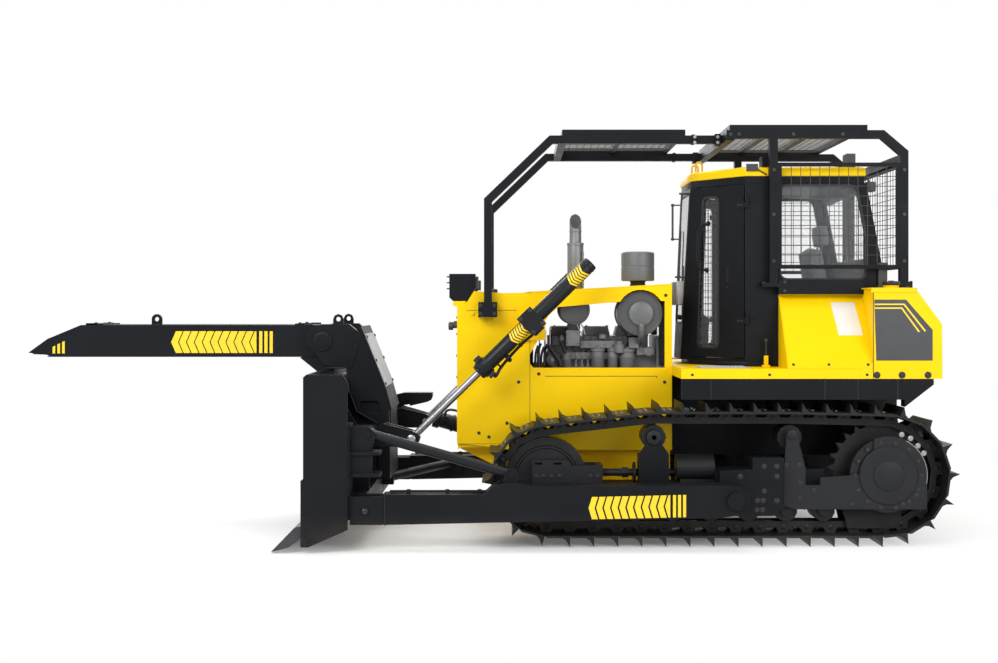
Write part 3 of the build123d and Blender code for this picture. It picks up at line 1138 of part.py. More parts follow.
def make_lift_bracket():
    """A stout bearing on the hood's side that carries the lift cylinder's trunnion pin."""
    x, z = LIFT_TOP
    out = -LIFT_Y + YOKE_HALF + WORK_CLEAR
    plate = slab([(x - 120, z - 160), (x - 120, z + 120), (x - 60, z + 150), (x + 80, z + 150), (x + 120, z + 90),
                  (x + 120, z - 160)], -HOOD_HALF - 40, -HOOD_HALF)
    horn = faceted((x, out, z), (x, -HOOD_HALF, z), 85, 16)
    bore = drum(x, z, LIFT_PIN_R + RUN_CLEAR, out - 1, -HOOD_HALF - 40)
    return join(plate, horn).cut(bore)


# ================================================================ write every piece

PINS = loop_pins()
TRACK = make_track(PINS)
FRAME = make_track_frame()
write("track_left", TRACK)
write("track_right", mirrored(solids_of(TRACK)))
write("idlers", both(make_idler(PINS)))
write("sprockets", both(make_sprocket()))
write("track_rollers", both(*make_rollers()))
write("track_frame_left", FRAME)
write("track_frame_right", mirrored([FRAME]))
write("track_tensioners", both(make_tensioner()))
write("hub_covers", both(make_hub_cover()))
write("arm_trunnions", both(make_trunnion()))
write("chassis", make_main_frame())
write("front_frame", make_front_frame())
write("gearcase", make_gearcase())
write("final_drives", both(make_final_drive()))
write("drawbar", make_drawbar())
write("radiator_guard", make_radiator_guard())
write("front_grille", make_grille(), make_radiator())
write("side_panels", both(make_side_panel()))
write("hood", make_hood())
write("engine", make_engine())
write("engine_filters", make_engine_filters())
write("muffler", make_muffler())
write("air_cleaner", make_air_cleaner())
write("fenders", make_deck())
write("skirts", both(make_skirt()))
write("side_consoles", both(make_console()))
write("fuel_tanks", both(make_tank()))
write("rear_body", make_rear_body())
write("cab_floor", make_cab_floor())
write("cab_sides", both(make_cab_side()))
write("cab_front", make_cab_front())
write("cab_rear", make_cab_rear())
write("cab_roof", make_cab_roof())
write("cab_glass", make_cab_glass())
write("seat", make_seat())
write("controls", make_controls())
write("sweeps", make_sweeps())
write("cab_cage", make_cage())
write("cage_screens", make_front_screen(), make_cage_roof(), make_visor(), both(make_side_screen()),
      make_rear_screen())
write("lamps", both(make_headlamp(), make_roof_lamp()))
write("lift_brackets", both(make_lift_bracket()))
write("push_arms", both(make_arm()))
write("blade", make_blade())
write("cutting_edge", make_cutting_edge())
write("mast", make_mast())
write("brace_lugs", both(*make_brace_lugs()))
write("side_brace", make_brace())
write("tilt_cylinder", make_tilt_cylinder())
write("diagonal_brace", make_diagonal_brace())
write("lift_lugs", both(*make_lift_lugs()))
write("pusher_boom", make_boom())
LEFT_SIDE = {"lift_barrel": make_barrel(), "lift_rod": make_rod(), "door": make_door(), "door_pane": make_door_pane()}
for piece, solid in LEFT_SIDE.items():
    write(f"{piece}_left", solid)
    write(f"{piece}_right", mirrored([solid]))
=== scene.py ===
import itertools
import math

import bmesh
import bpy
from mathutils import Matrix, Vector


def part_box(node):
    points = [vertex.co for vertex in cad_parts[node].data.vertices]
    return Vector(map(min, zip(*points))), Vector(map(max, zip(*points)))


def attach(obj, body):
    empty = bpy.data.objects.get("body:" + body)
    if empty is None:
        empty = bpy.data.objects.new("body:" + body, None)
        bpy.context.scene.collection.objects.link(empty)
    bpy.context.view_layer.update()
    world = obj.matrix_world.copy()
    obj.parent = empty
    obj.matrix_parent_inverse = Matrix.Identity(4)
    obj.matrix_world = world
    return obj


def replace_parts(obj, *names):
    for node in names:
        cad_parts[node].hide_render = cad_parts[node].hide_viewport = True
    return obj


# Dressing for the crawler bulldozer: paint, glass, wire mesh, bolts, pipes, hoses and decals round the packed
# frame. Tables are in millimetres, with X measured from SHIFT behind the frame's own origin; at() turns them
# into metres. box(), lathe() and the like add to the mesh in Work; piece() makes that mesh a piece and starts
# the next one.

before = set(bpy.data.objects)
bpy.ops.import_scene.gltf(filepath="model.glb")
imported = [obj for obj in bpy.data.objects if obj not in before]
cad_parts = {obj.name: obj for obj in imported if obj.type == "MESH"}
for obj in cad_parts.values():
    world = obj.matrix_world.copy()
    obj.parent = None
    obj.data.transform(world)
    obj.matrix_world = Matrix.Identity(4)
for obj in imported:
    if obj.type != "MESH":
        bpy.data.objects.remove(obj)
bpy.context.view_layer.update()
SHIFT = 270.0
LEFT, RIGHT, UP, AHEAD, BACK = (0, -1, 0), (0, 1, 0), (0, 0, 1), (-1, 0, 0), (1, 0, 0)
IN, OUT = LEFT, RIGHT       # inboard and outboard, inside a loop over sides()


class Work:
    """The mesh being built, and the sign that at() and aim() give to Y: -1 is the machine's left."""
    mesh = bmesh.new()
    sign = 1


def sides():
    """Gives left, then right, while positive Y in the tables means that side."""
    for name, Work.sign in (("left", -1), ("right", 1)):
        yield name


def at(x, y, z):
    return Vector(((x + SHIFT) / 1000, Work.sign * y / 1000, z / 1000))


def aim(direction):
    x, y, z = direction
    return Vector((x, Work.sign * y, z))


def half_width(name):
    """How far out a CAD node reaches, in millimetres."""
    return -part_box(name)[0].y * 1000


# ---------------------------------------------------------------- materials


def node(tree, kind, inputs, **settings):
    """A shader node. An input is a value, a socket, or a node that stands for its first output."""
    made = tree.nodes.new("ShaderNode" + kind)
    for key, value in settings.items():
        setattr(made, key, value)
    for key, value in inputs.items():
        if isinstance(value, bpy.types.Node):
            value = value.outputs[0]
        if isinstance(value, bpy.types.NodeSocket):
            tree.links.new(value, made.inputs[key])
        else:
            made.inputs[key].default_value = value
    return made


def new_material(name):
    m = bpy.data.materials.new(name)
    m.use_nodes = True
    m.node_tree.nodes.clear()
    return m, m.node_tree


def map_range(tree, value, from_min, from_max, to_min, to_max):
    return node(tree, "MapRange", {"Value": value, "From Min": from_min, "From Max": from_max,
                                   "To Min": to_min, "To Max": to_max})


def times(tree, a, b):
    return node(tree, "Math", {0: a, 1: b}, operation="MULTIPLY")


def noise(tree, scale, detail, low, high, coords, stretch=(1, 1, 1)):
    """A noise value spread from low to high."""
    place = node(tree, "Mapping", {"Scale": stretch, "Vector": coords})
    n = node(tree, "TexNoise", {"Scale": scale, "Detail": detail, "Vector": place})
    return map_range(tree, n.outputs["Fac"], 0.3, 0.7, low, high)


def mix(tree, factor, a, b):
    a, b = ((*c, 1) if isinstance(c, tuple) else c for c in (a, b))
    return node(tree, "Mix", {"Factor": factor, "A": a, "B": b}, data_type="RGBA").outputs["Result"]


SOIL = (0.13, 0.105, 0.08)
DUST_MOST = 0.3             # the dust film's share on the ground
GRAIN_DEPTH = 0.0012        # metres
EDGE_FLAT, EDGE_SHARP = 0.985, 0.9      # rounded normal against true normal, where wear starts and is full


def surface(name, colour, rough, metallic=0.0, tone=0.86, scale=2.5, spread=0.06, bump=0.15, grain=90.0,
            bevel=0.004, wear=None, wear_at=0.35, dust_top=None, coat=0.0, stretch=(1, 1, 1), specular=0.5,
            sheen=0.0, alpha=1.0, transmission=0.0):
    """Varied colour and roughness, grain, rounded edges, worn edges and, below dust_top, settled dust."""
    m, tree = new_material(name)
    coords = node(tree, "TexCoord", {}).outputs["Object"]
    result = mix(tree, noise(tree, scale, 4, 0, 1, coords, stretch), tuple(c * tone for c in colour), colour)
    soft_edge = node(tree, "Bevel", {"Radius": bevel}, samples=4)
    if wear:
        normal = node(tree, "NewGeometry", {}).outputs["True Normal"]
        dot = node(tree, "VectorMath", {0: soft_edge, 1: normal}, operation="DOT_PRODUCT").outputs["Value"]
        edge = map_range(tree, dot, EDGE_FLAT, EDGE_SHARP, 0, wear_at)
        result = mix(tree, times(tree, edge, noise(tree, 35, 5, 0, 1.3, coords)).outputs[0], result, wear)
    if dust_top:
        height = node(tree, "SeparateXYZ", {0: coords}).outputs["Z"]
        low = map_range(tree, height, dust_top, 0, 0, DUST_MOST)
        result = mix(tree, times(tree, low, noise(tree, 6, 5, 0.2, 1.0, coords)).outputs[0], result, SOIL)
    relief = node(tree, "Bump", {"Strength": bump, "Distance": GRAIN_DEPTH, "Normal": soft_edge,
                                 "Height": noise(tree, grain, 3, 0, 1, coords, stretch)})
    shader = node(tree, "BsdfPrincipled", {
        "Base Color": result, "Normal": relief, "Metallic": metallic, "Specular IOR Level": specular,
        "Alpha": alpha, "Transmission Weight": transmission, "Coat Weight": coat, "Coat Roughness": 0.12,
        "Sheen Weight": sheen,
        "Roughness": noise(tree, scale * 3, 4, max(0.02, rough - spread), rough + spread, coords, stretch)})
    node(tree, "OutputMaterial", {0: shader})
    return m


WORN_BLACK = (0.06, 0.063, 0.068)
WORN_GREY = (0.3, 0.3, 0.31)
YELLOW = surface("yellow_paint", (0.93, 0.60, 0.0), 0.4, tone=0.94, wear=(0.55, 0.36, 0.03), wear_at=0.3,
                 bump=0.08, specular=0.14)
BLACK = surface("black_paint", (0.009, 0.010, 0.0125), 0.46, tone=0.75, wear=WORN_BLACK, wear_at=0.45,
                dust_top=0.3, bump=0.12, specular=0.1)
BARREL = surface("black_barrel", (0.011, 0.012, 0.0145), 0.33, tone=0.8, wear=WORN_BLACK, bump=0.08,
                 specular=0.18)
TRACK = surface("track_steel", (0.014, 0.0145, 0.016), 0.46, metallic=0.2, tone=0.6, scale=6,
                wear=(0.1, 0.1, 0.1), wear_at=0.55, dust_top=0.2, bump=0.3, grain=60, specular=0.28)
CASTING = surface("cast_black", (0.013, 0.0138, 0.0162), 0.5, tone=0.72, scale=5, wear=(0.06, 0.06, 0.066),
                  bump=0.35, grain=120, dust_top=0.3, specular=0.24)
EDGE = surface("cutting_edge", (0.05, 0.053, 0.058), 0.38, metallic=0.5, tone=0.65, scale=7,
               wear=(0.4, 0.4, 0.42), wear_at=0.7, bump=0.25, grain=50)
CHROME = surface("chrome", (0.27, 0.265, 0.28), 0.24, metallic=0.9, tone=0.92, scale=8, spread=0.04,
                 bump=0.02)
STACK_STEEL = surface("stack_steel", (0.21, 0.21, 0.215), 0.4, metallic=0.5, scale=4, tone=0.85, bump=0.05,
                      stretch=(1, 1, 0.15))
# the engine's grey, set lighter than its own colour: partly its paint, partly painted light that makes up for
# the shade in the engine bay
ENGINE_GREY = surface("engine_grey", (0.19, 0.195, 0.203), 0.45, tone=0.72, scale=7, wear=WORN_GREY, bump=0.4,
                      grain=110)
DRUM_GREY = surface("drum_grey", (0.122, 0.126, 0.131), 0.42, wear=WORN_GREY, bump=0.1)
DISC_GREY = surface("disc_grey", (0.063, 0.065, 0.068), 0.42, tone=0.85, bump=0.12, wear=(0.2, 0.2, 0.2))
LIGHT_GREY = surface("light_grey", (0.42, 0.43, 0.44), 0.45, tone=0.85, bump=0.08, wear=(0.6, 0.6, 0.6))
ZINC = surface("zinc_bolts", (0.4, 0.4, 0.4), 0.35, metallic=0.9, tone=0.7, scale=20, bump=0.1, bevel=0.0015)
DARK_BOLT = surface("dark_bolts", (0.03, 0.03, 0.032), 0.38, metallic=0.5, tone=0.7, scale=20, bevel=0.0015,
                    wear=(0.25, 0.25, 0.25))
RUBBER = surface("rubber", (0.015, 0.015, 0.016), 0.62, tone=0.7, scale=12, bump=0.2, grain=200, bevel=0.003)
WIRE = surface("mesh_wire", (0.03, 0.032, 0.035), 0.45, tone=0.75, scale=15, bump=0.1, bevel=0.001)
DECAL = surface("decal_yellow", (0.93, 0.62, 0.012), 0.4, tone=0.9, scale=9, bump=0.05, bevel=0.001)
DECAL_DARK = surface("decal_dark", (0.038, 0.04, 0.044), 0.38, tone=0.85, scale=6, bump=0.05, bevel=0.001)
LABEL = surface("blank_plate", (0.74, 0.72, 0.68), 0.42, tone=0.94, scale=9, bump=0.05, bevel=0.001)
FABRIC = surface("seat_cover", (0.24, 0.245, 0.255), 0.85, tone=0.8, scale=14, bump=0.5, grain=420,
                 bevel=0.006, sheen=0.3, specular=0.2)
PLASTIC = surface("black_plastic", (0.028, 0.028, 0.03), 0.5, tone=0.8, scale=10, bump=0.25, grain=260,
                  bevel=0.003)
LENS = surface("lamp_lens", (0.7, 0.72, 0.74), 0.12, tone=0.85, scale=30, bump=0.6, grain=70, coat=0.6)
# a faint pale grey film over the panes: painted reflection that lightens the dark cab seen through them
GLASS = surface("glass", (0.5, 0.53, 0.55), 0.05, tone=0.95, scale=2, spread=0.01, bump=0.0, bevel=0.001,
                alpha=0.07)
SCREEN_GLASS = surface("screen_glass", (0.86, 0.88, 0.9), 0.05, tone=0.97, scale=2, spread=0.01, bump=0.0,
                       bevel=0.001, transmission=1.0)
# the seals' dark rubber, also used for the painted shade in the panel and skirt seams
SEAL_AND_SEAM_SHADE = surface("seal_rubber_and_seam_shade", (0.012, 0.012, 0.013), 0.6, tone=0.8, scale=12, bump=0.15, bevel=0.002)

NODE_LOOKS = (
    (YELLOW, "hood side_panels radiator_guard fenders side_consoles fuel_tanks rear_body cab_roof "
             "lift_brackets front_frame"),
    (TRACK, "track_left track_right sprockets idlers track_rollers"),
    (CASTING, "hub_covers final_drives gearcase track_tensioners drawbar front_grille"),
    (EDGE, "cutting_edge"),
    (ENGINE_GREY, "engine engine_filters"),
    (GLASS, "cab_glass door_pane_left door_pane_right"),
    (BARREL, "lift_barrel_left lift_barrel_right tilt_cylinder side_brace"),
    (CHROME, "lift_rod_left lift_rod_right"),
    (PLASTIC, "controls seat"),
    (DRUM_GREY, "air_cleaner muffler"),
)
for name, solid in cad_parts.items():
    solid.data.materials.clear()
    solid.data.materials.append(next((m for m, names in NODE_LOOKS if name in names.split()), BLACK))

# ---------------------------------------------------------------- mesh helpers


def skin(rings, loop=False):
    """Skins a list of equal rings of points, with faces at both ends unless it loops."""
    bm = Work.mesh
    made = [[bm.verts.new(p) for p in points] for points in rings]
    for a, b in list(zip(made, made[1:])) + ([(made[-1], made[0])] if loop else []):
        for i in range(len(a)):
            j = (i + 1) % len(a)
            bm.faces.new((a[i], a[j], b[j], b[i]))
    if not loop:
        bm.faces.new(made[0][::-1])
        bm.faces.new(made[-1])


def prism(outline, y0, y1):
    """A side outline in x and z, carried across from y0 to y1."""
    skin([[at(x, y, z) for x, z in outline] for y in (y0, y1)])


def rect(u0, u1, v0, v1):
    return [(u0, v0), (u1, v0), (u1, v1), (u0, v1)]


def box(x0, x1, y0, y1, z0, z1):
    prism(rect(x0, x1, z0, z1), y0, y1)


def turns(count, first=0.0):
    return [first + 2 * math.pi * i / count for i in range(count)]


def side_vectors(d):
    d = d.normalized()
    u = d.cross(Vector(UP) if abs(d.z) < 0.9 else Vector(BACK)).normalized()
    return d, u, d.cross(u)


def circle(centre, u, v, radius, segments):
    return [centre + (u * math.cos(t) + v * math.sin(t)) * radius / 1000 for t in turns(segments)]


def lathe(start, direction, profile, segments=32):
    """A turned piece: profile is (distance along, radius) pairs in millimetres, closed at both ends."""
    d, u, v = side_vectors(aim(direction))
    skin([circle(at(*start) + d * (along / 1000), u, v, max(radius, 0.2), segments)
          for along, radius in profile])


def band(start, direction, inner, outer, wide, segments):
    lathe(start, direction, [(0, inner), (0, outer), (wide, outer), (wide, inner)], segments)


def tube(points, radius, segments=10, smooth=0):
    """A pipe along points in millimetres; smooth > 0 rounds its corners first."""
    line = [at(*p) for p in points]
    for _ in range(smooth):
        cut = [line[0]]
        for a, b in zip(line, line[1:]):
            cut += [a * 0.75 + b * 0.25, a * 0.25 + b * 0.75]
        line = cut + [line[-1]]
    rings = []
    u = side_vectors(line[1] - line[0])[1]
    for i, p in enumerate(line):
        d = (line[min(i + 1, len(line) - 1)] - line[max(i - 1, 0)]).normalized()
        u = (u - d * u.dot(d)).normalized()
        rings.append(circle(p, u, d.cross(u), radius, segments))
    skin(rings)


def bolt(place, direction, radius=14.0, height=None):
    """A hexagon head on its washer."""
    height = height or radius * 0.75
    lathe(place, direction, [(-1, radius * 1.45), (radius * 0.18, radius * 1.45)], 12)
    lathe(place, direction, [(0, radius), (height * 0.85, radius), (height, radius * 0.86)], 6)


def bolts(places, direction, radius=14.0):
    for place in places:
        bolt(place, direction, radius)


def every(*axes):
    """Every combination of the x, y and z values given; a bare number stands for itself."""
    return itertools.product(*(a if isinstance(a, (tuple, range)) else (a,) for a in axes))


def on_y(y, *pairs):
    return [(x, y, z) for x, z in pairs]


def bolt_circle(x, y, z, radius, count, size, direction=OUT, first=0.0):
    bolts([(x + radius * math.cos(t), y, z + radius * math.sin(t)) for t in turns(count, first)],
          direction, size)


def piece(name, material, body="machine", smooth=40.0, bevel=0.0):
    """Makes a piece of the mesh in Work: smooth is the sharp angle in degrees, bevel is in millimetres."""
    bm, Work.mesh = Work.mesh, bmesh.new()
    mesh = bpy.data.meshes.new(name)
    bmesh.ops.recalc_face_normals(bm, faces=bm.faces)
    bm.to_mesh(mesh)
    bm.free()
    o = bpy.data.objects.new(name, mesh)
    bpy.context.scene.collection.objects.link(o)
    mesh.materials.append(material)
    if smooth:
        for p in mesh.polygons:
            p.use_smooth = True
        mesh.set_sharp_from_angle(angle=math.radians(smooth))
    if bevel:
        b = o.modifiers.new("edges", "BEVEL")
        b.width = bevel / 1000
        b.segments = 2
        b.limit_method = "ANGLE"
        b.angle_limit = math.radians(40)
    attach(o, body)
    return o


# ---------------------------------------------------------------- camera, light, floor

scene = bpy.context.scene
scene.view_settings.view_transform = "Standard"
camera = bpy.data.objects.new("camera", bpy.data.cameras.new("camera"))
scene.collection.objects.link(camera)
camera.data.lens = 47.29
camera.data.sensor_width = 36.0
camera.data.shift_x = -0.0110
camera.data.shift_y = -0.0235
camera.location = (0.270, -11.5, 1.879)
camera.rotation_euler = (math.radians(90), 0, 0)
scene.camera = camera


def seen_directly(tree):
    """1 for camera, glossy and transmission rays, else 0."""
    rays = node(tree, "LightPath", {}).outputs
    value = rays["Is Camera Ray"]
    for name in ("Is Glossy Ray", "Is Transmission Ray"):
        value = node(tree, "Math", {0: value, 1: rays[name]}, operation="MAXIMUM").outputs[0]
    return value


WHITE = (1, 1, 1, 1)
scene.world = bpy.data.worlds.new("studio")
scene.world.use_nodes = True
sky = scene.world.node_tree
sky.nodes.clear()
lit, seen = (node(sky, "Background", {"Color": WHITE, "Strength": strength}) for strength in (0.55, 1.0))
node(sky, "OutputWorld", {0: node(sky, "MixShader", {0: seen_directly(sky), 1: lit, 2: seen})})


def area_light(name, place, target, size, watts):
    data = bpy.data.lights.new(name, "AREA")
    data.shape = "RECTANGLE"
    data.size, data.size_y = size
    data.energy = watts
    o = bpy.data.objects.new(name, data)
    scene.collection.objects.link(o)
    o.location = place
    o.rotation_euler = (Vector(target) - Vector(place)).to_track_quat("-Z", "Y").to_euler()


area_light("key", (-4.5, -8.5, 7.0), (0.3, 0, 1.2), (6, 4), 700)
area_light("fill", (6.5, -8.0, 4.0), (0.5, 0, 1.2), (5, 4), 270)
area_light("top", (0.5, 0.5, 9.0), (0.3, 0, 0), (8, 6), 420)
area_light("back", (1.0, 9.0, 6.0), (0.3, 0, 1.2), (8, 4), 420)


def make_floor():
    """A wide floor that fades from a shaded grey under the machine to plain white."""
    mesh = bpy.data.meshes.new("floor")
    mesh.from_pydata([(x, y, -0.0005) for x, y in rect(-60, 60, -60, 60)], [], [(0, 1, 2, 3)])
    o = bpy.data.objects.new("floor", mesh)
    scene.collection.objects.link(o)
    m, t = new_material("floor")
    diffuse = node(t, "BsdfDiffuse", {"Color": (0.93, 0.93, 0.93, 1)})
    lift = node(t, "Emission", {"Color": WHITE, "Strength": 0.12})
    white = node(t, "Emission", {"Color": WHITE})
    coords = node(t, "TexCoord", {}).outputs["Object"]
    squeeze = node(t, "Mapping", {"Scale": (0.42, 0.8, 1), "Vector": coords})
    apart = node(t, "VectorMath", {0: squeeze}, operation="LENGTH").outputs["Value"]
    fade = map_range(t, apart, 1.0, 2.1, 0, 1)
    near = node(t, "MixShader", {0: fade, 1: node(t, "AddShader", {0: diffuse, 1: lift}), 2: white})
    node(t, "OutputMaterial", {0: node(t, "MixShader", {0: seen_directly(t), 1: diffuse, 2: near})})
    mesh.materials.append(m)


make_floor()

# ---------------------------------------------------------------- decals

DECAL_THICK = 1.5
LIFT_TOP = (174.0, 1772.0)
LIFT_EYE = (-796.0, 823.0)
LIFT_LONG = math.dist(LIFT_TOP, LIFT_EYE)
LIFT_U = ((LIFT_EYE[0] - LIFT_TOP[0]) / LIFT_LONG, (LIFT_EYE[1] - LIFT_TOP[1]) / LIFT_LONG)
LIFT_AXIS = (LIFT_U[0], 0, LIFT_U[1])
LIFT_Y = 850.0
BARREL_R = 62.0


def chevron_row(x0, z_mid, height, pitch, stroke, skew, y, lean=0.0):
    """Ten forward-pointing chevrons, a closing wedge and three bars; lean raises the row to the rear."""
    def up(x):
        return z_mid + (x - x0) * lean
    half, y1 = height / 2, y + DECAL_THICK
    for i in range(10):
        x = x0 + pitch * i
        z, a, b = up(x), x + skew, x + skew + stroke
        prism([(x, z), (a, z - half), (b, z - half), (x + stroke, z), (b, z + half), (a, z + half)], y, y1)
    x = x0 + pitch * 10
    z, a, end = up(x), x + skew, x + skew + 14
    prism([(x, z), (a, z - half), (end, z - half), (end, z + half), (a, z + half)], y, y1)
    for i in range(3):
        a = end + pitch * 0.35 + pitch * 0.66 * i
        box(a, a + pitch * 0.4, y, y1, up(a) - half, up(a) + half)


def lift_at(along, across=0.0, out=0.0):
    """A point by the lift cylinder: along it from its trunnion, across it (up is positive), and outboard."""
    x = LIFT_TOP[0] + LIFT_U[0] * along - LIFT_U[1] * across
    z = LIFT_TOP[1] + LIFT_U[1] * along + LIFT_U[0] * across
    return (x, LIFT_Y + out, z)


def barrel_bands():
    """Two bands of chevrons wrapped round the barrel's outer face."""
    steps, spread = 12, math.radians(62)
    corners = ((BARREL_R, 0), (BARREL_R, 16), (BARREL_R + 1.2, 16), (BARREL_R + 1.2, 0))
    for first in (start + i * 25.0 for start in (-600, 60) for i in range(6)):
        rows = []
        for k in range(steps + 1):
            angle = -spread + 2 * spread * k / steps
            tip = first + 26.0 * (1 - abs(angle) / spread)
            rows.append([at(*lift_at(tip + edge, r * math.sin(angle), r * math.cos(angle)))
                         for r, edge in corners])
        skin(rows)


for side in sides():
    y = half_width("pusher_boom")
    chevron_row(-2894, 1588, 186, 67.4, 58, 40, y)
    for x, top in ((-3907, 1547), (-3866, 1568), (-3826, 1588)):
        prism([(x, 1491), (x + 22, 1491), (x + 22, top + 10), (x, top)], y, y + DECAL_THICK)
    piece(f"boom_stripes_{side}", DECAL, "boom", smooth=0)
    chevron_row(603, 344, 171, 58.7, 46, 26, half_width("push_arms"), 0.022)
    piece(f"arm_stripes_{side}", DECAL, "blade_group", smooth=0)
    barrel_bands()
    piece(f"barrel_stripes_{side}", DECAL, f"lift_barrel_{side}", smooth=60)

# the dark panel on each tank with its two thin lines
for side in sides():
    y = half_width("fuel_tanks")
    prism([(2876, 1946), (3127, 1946), (3337, 1706), (3337, 1464), (2892, 1464)], y, y + DECAL_THICK)
    piece(f"tank_panel_{side}", DECAL_DARK, smooth=0)
    for drop in (0, 30):
        z, b, c, low = 1914 - drop, 3112 - drop * 0.6, 3278 - drop * 1.6, 1694 - drop * 0.2
        prism([(2880, z - 11), (b - 5, z - 11), (c - 6, low), (c + 6, low + 6), (b + 2, z), (2880, z)],
              y + 1, y + 2.4)
    piece(f"tank_lines_{side}", DECAL, smooth=0)


def console_label():
    """A blank plate on the left console's leaning face, which runs from y -1148, z 1420 to y -786, z 1991."""
    points = [Vector((x, -1148 + 362 * (z - 1420) / 571, z))
              for x, z in ((2608, 1925), (2800, 1925), (2830, 1660), (2635, 1660))]
    normal = (points[2] - points[0]).cross(points[1] - points[0]).normalized()
    skin([[at(*(p + normal * rise)) for p in points] for rise in (DECAL_THICK, -0.3)])
    piece("blank_label", LABEL, smooth=0)


console_label()

# ---------------------------------------------------------------- wire mesh

WIRE_R = 3.2


def wire_grid(origin, across, up, pitch):
    """Two layers of wires over the parallelogram from origin along across and up, all in millimetres."""
    o, a, b = Vector(origin), Vector(across), Vector(up)
    n = a.cross(b).normalized() * WIRE_R * 0.9
    for run, other, shift in ((b, a, n), (a, b, -n)):
        count = max(1, round(other.length / pitch))
        over = run.normalized() * 3.0
        for i in range(1, count):
            start = o + other * (i / count) + shift
            tube([start - over, start + run + over], WIRE_R, 5)


for side, y in (("left", -856), ("right", 856)):
    wire_grid((2206, y, 2230), (929, 0, 0), (0, 0, 798), 76)
    piece(f"side_mesh_{side}", WIRE, smooth=60)
wire_grid((3200, -768, 2230), (0, 1536, 0), (0, 0, 798), 76)
piece("rear_mesh", WIRE, smooth=60)
for x in (1827, 2185, 2543):
    wire_grid((x, -821, 3338), (313, 0, 0), (0, 1642, 0), 62)
piece("roof_mesh", WIRE, smooth=60)
for x in (471, 960.5):
    wire_grid((x, -623, 3330), (449.5, 0, 0), (0, 1246, 0), 62)
piece("front_mesh", WIRE, smooth=60)

# ---------------------------------------------------------------- exhaust

STACK_X, STACK_Y = 565.0, -180.0


def drum(x, z, radius, y0, y1, segments=48):
    """A sheet drum lying across the engine, with rolled rims at both ends."""
    long, rim = y1 - y0, radius + 3
    lathe((x, y0, z), RIGHT, [
        (6, 0), (6, radius - 18), (0, radius - 12), (0, radius - 2), (3, rim), (14, rim), (18, radius),
        (long - 18, radius), (long - 14, rim), (long - 3, rim), (long, radius - 3), (long, 0)], segments)


def mouth_ring(radius, level=None):
    """A ring of the stack; without a level it is the open end, cut slanting so that it looks to the left."""
    return [at(STACK_X + radius * math.cos(t), STACK_Y + radius * math.sin(t),
               2627 + 66 * math.sin(t) if level is None else level) for t in turns(40)]


drum(545, 1865, 125, -480, 100)
for y in (-330, -60):
    band((545, y, 1865), RIGHT, 120, 128, 24, 48)
box(360, 1000, -280, -190, 1557, 1640)
for x in range(372, 903, 106):
    box(x, x + 62, -292, -200, 1560, 1632)
    bolts(every((x + 12, x + 50), -292, 1620), LEFT, 9)
box(492, 600, -298, -200, 1640, 1745)
tube([(1000, -235, 1600), (1130, -235, 1600)], 36, 20)
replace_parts(piece("silencer", DISC_GREY, bevel=3), "muffler")

# the stack's dark bore, closed about 130 mm below the mouth: soot on its walls, and painted shade for the
# pipe's depth below
skin([mouth_ring(45.6), mouth_ring(45.6, 2496), mouth_ring(1, 2496)])
piece("stack_bore_soot_and_shade", PLASTIC)
lathe((STACK_X, STACK_Y, 1975), UP, [(0, 60), (0, 66), (6, 70), (430, 70), (446, 68), (470, 53), (480, 51.5),
                                     (560, 51)], 40)
band((STACK_X, STACK_Y, 2418), UP, 70, 73, 22, 40)
band((STACK_X, STACK_Y, 2535), UP, 50, 54, 10, 40)
tube([(627, -242, 2050), (627, -242, 2360)], 8, 12)
skin([mouth_ring(51, 2530), mouth_ring(51), mouth_ring(46), mouth_ring(46, 2490), mouth_ring(43, 2490)])
piece("exhaust_stack", STACK_STEEL)
box(535, 597, -242, -192, 1690, 1760)
band((STACK_X, STACK_Y, 2004), UP, 70, 88, 8, 40)
piece("stack_collar", DISC_GREY, bevel=2)

# ---------------------------------------------------------------- intake

drum(1092, 1835, 185, -515, -120, 64)
for y in (-480, -230):
    band((1092, y, 1835), RIGHT, 180, 189, 26, 64)
box(1002, 1182, -300, -125, 1640, 1700)
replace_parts(piece("air_cleaner_drum", DISC_GREY, bevel=2), "air_cleaner")
lathe((1098, -533, 1832), RIGHT, [(0, 0), (0, 96), (6, 104), (18, 107), (30, 107)], 48)
bolt_circle(1098, -533, 1832, 88, 3, 7, LEFT, math.pi / 2)
piece("air_cleaner_lid", DRUM_GREY)
lathe((1092, -290, 2110), UP, [(0, 0), (0, 132), (4, 139), (12, 141), (118, 141), (121, 138), (126, 138),
                               (129, 141), (228, 141), (240, 139), (247, 130), (247, 0)], 64)
piece("intake_bowl", DRUM_GREY)
lathe((1092, -290, 1990), UP, [(0, 58), (0, 62), (70, 62), (74, 66), (90, 66), (94, 62), (122, 62)], 32)
for z in (2072, 2098):
    band((1092, -290, z), UP, 60, 68, 9, 32)
piece("intake_neck", RUBBER)
tube([(1102, -520, 1745), (1102, -528, 1700), (1102, -500, 1640), (1102, -400, 1600), (1072, -300, 1590)],
     27, 18, smooth=3)
for z in (1716, 1690):
    band((1102, -526, z), UP, 26, 30, 9, 24)
piece("intake_outlet", DRUM_GREY)

# ---------------------------------------------------------------- engine

# shares of a canister's height and radius, above its domed foot
CANISTER = ((0.62, 1), (0.64, 1.06), (0.70, 1.06), (0.72, 0.96), (0.84, 0.96), (0.86, 1.12), (0.95, 1.12),
            (0.97, 0.7), (1, 0.66))
INJECTORS = (510, 562, 614, 666)


def canister(x, y, z0, z1, radius):
    """A spin-on filter under its head: ribbed top, domed foot."""
    high = z1 - z0
    foot = [(0, 0), (0, radius * 0.55), (8, radius * 0.86), (20, radius)]
    lathe((x, y, z0), UP, foot + [(high * h, radius * r) for h, r in CANISTER] + [(high, 0)], 28)
    bolt((x, y, z1), UP, radius * 0.26)


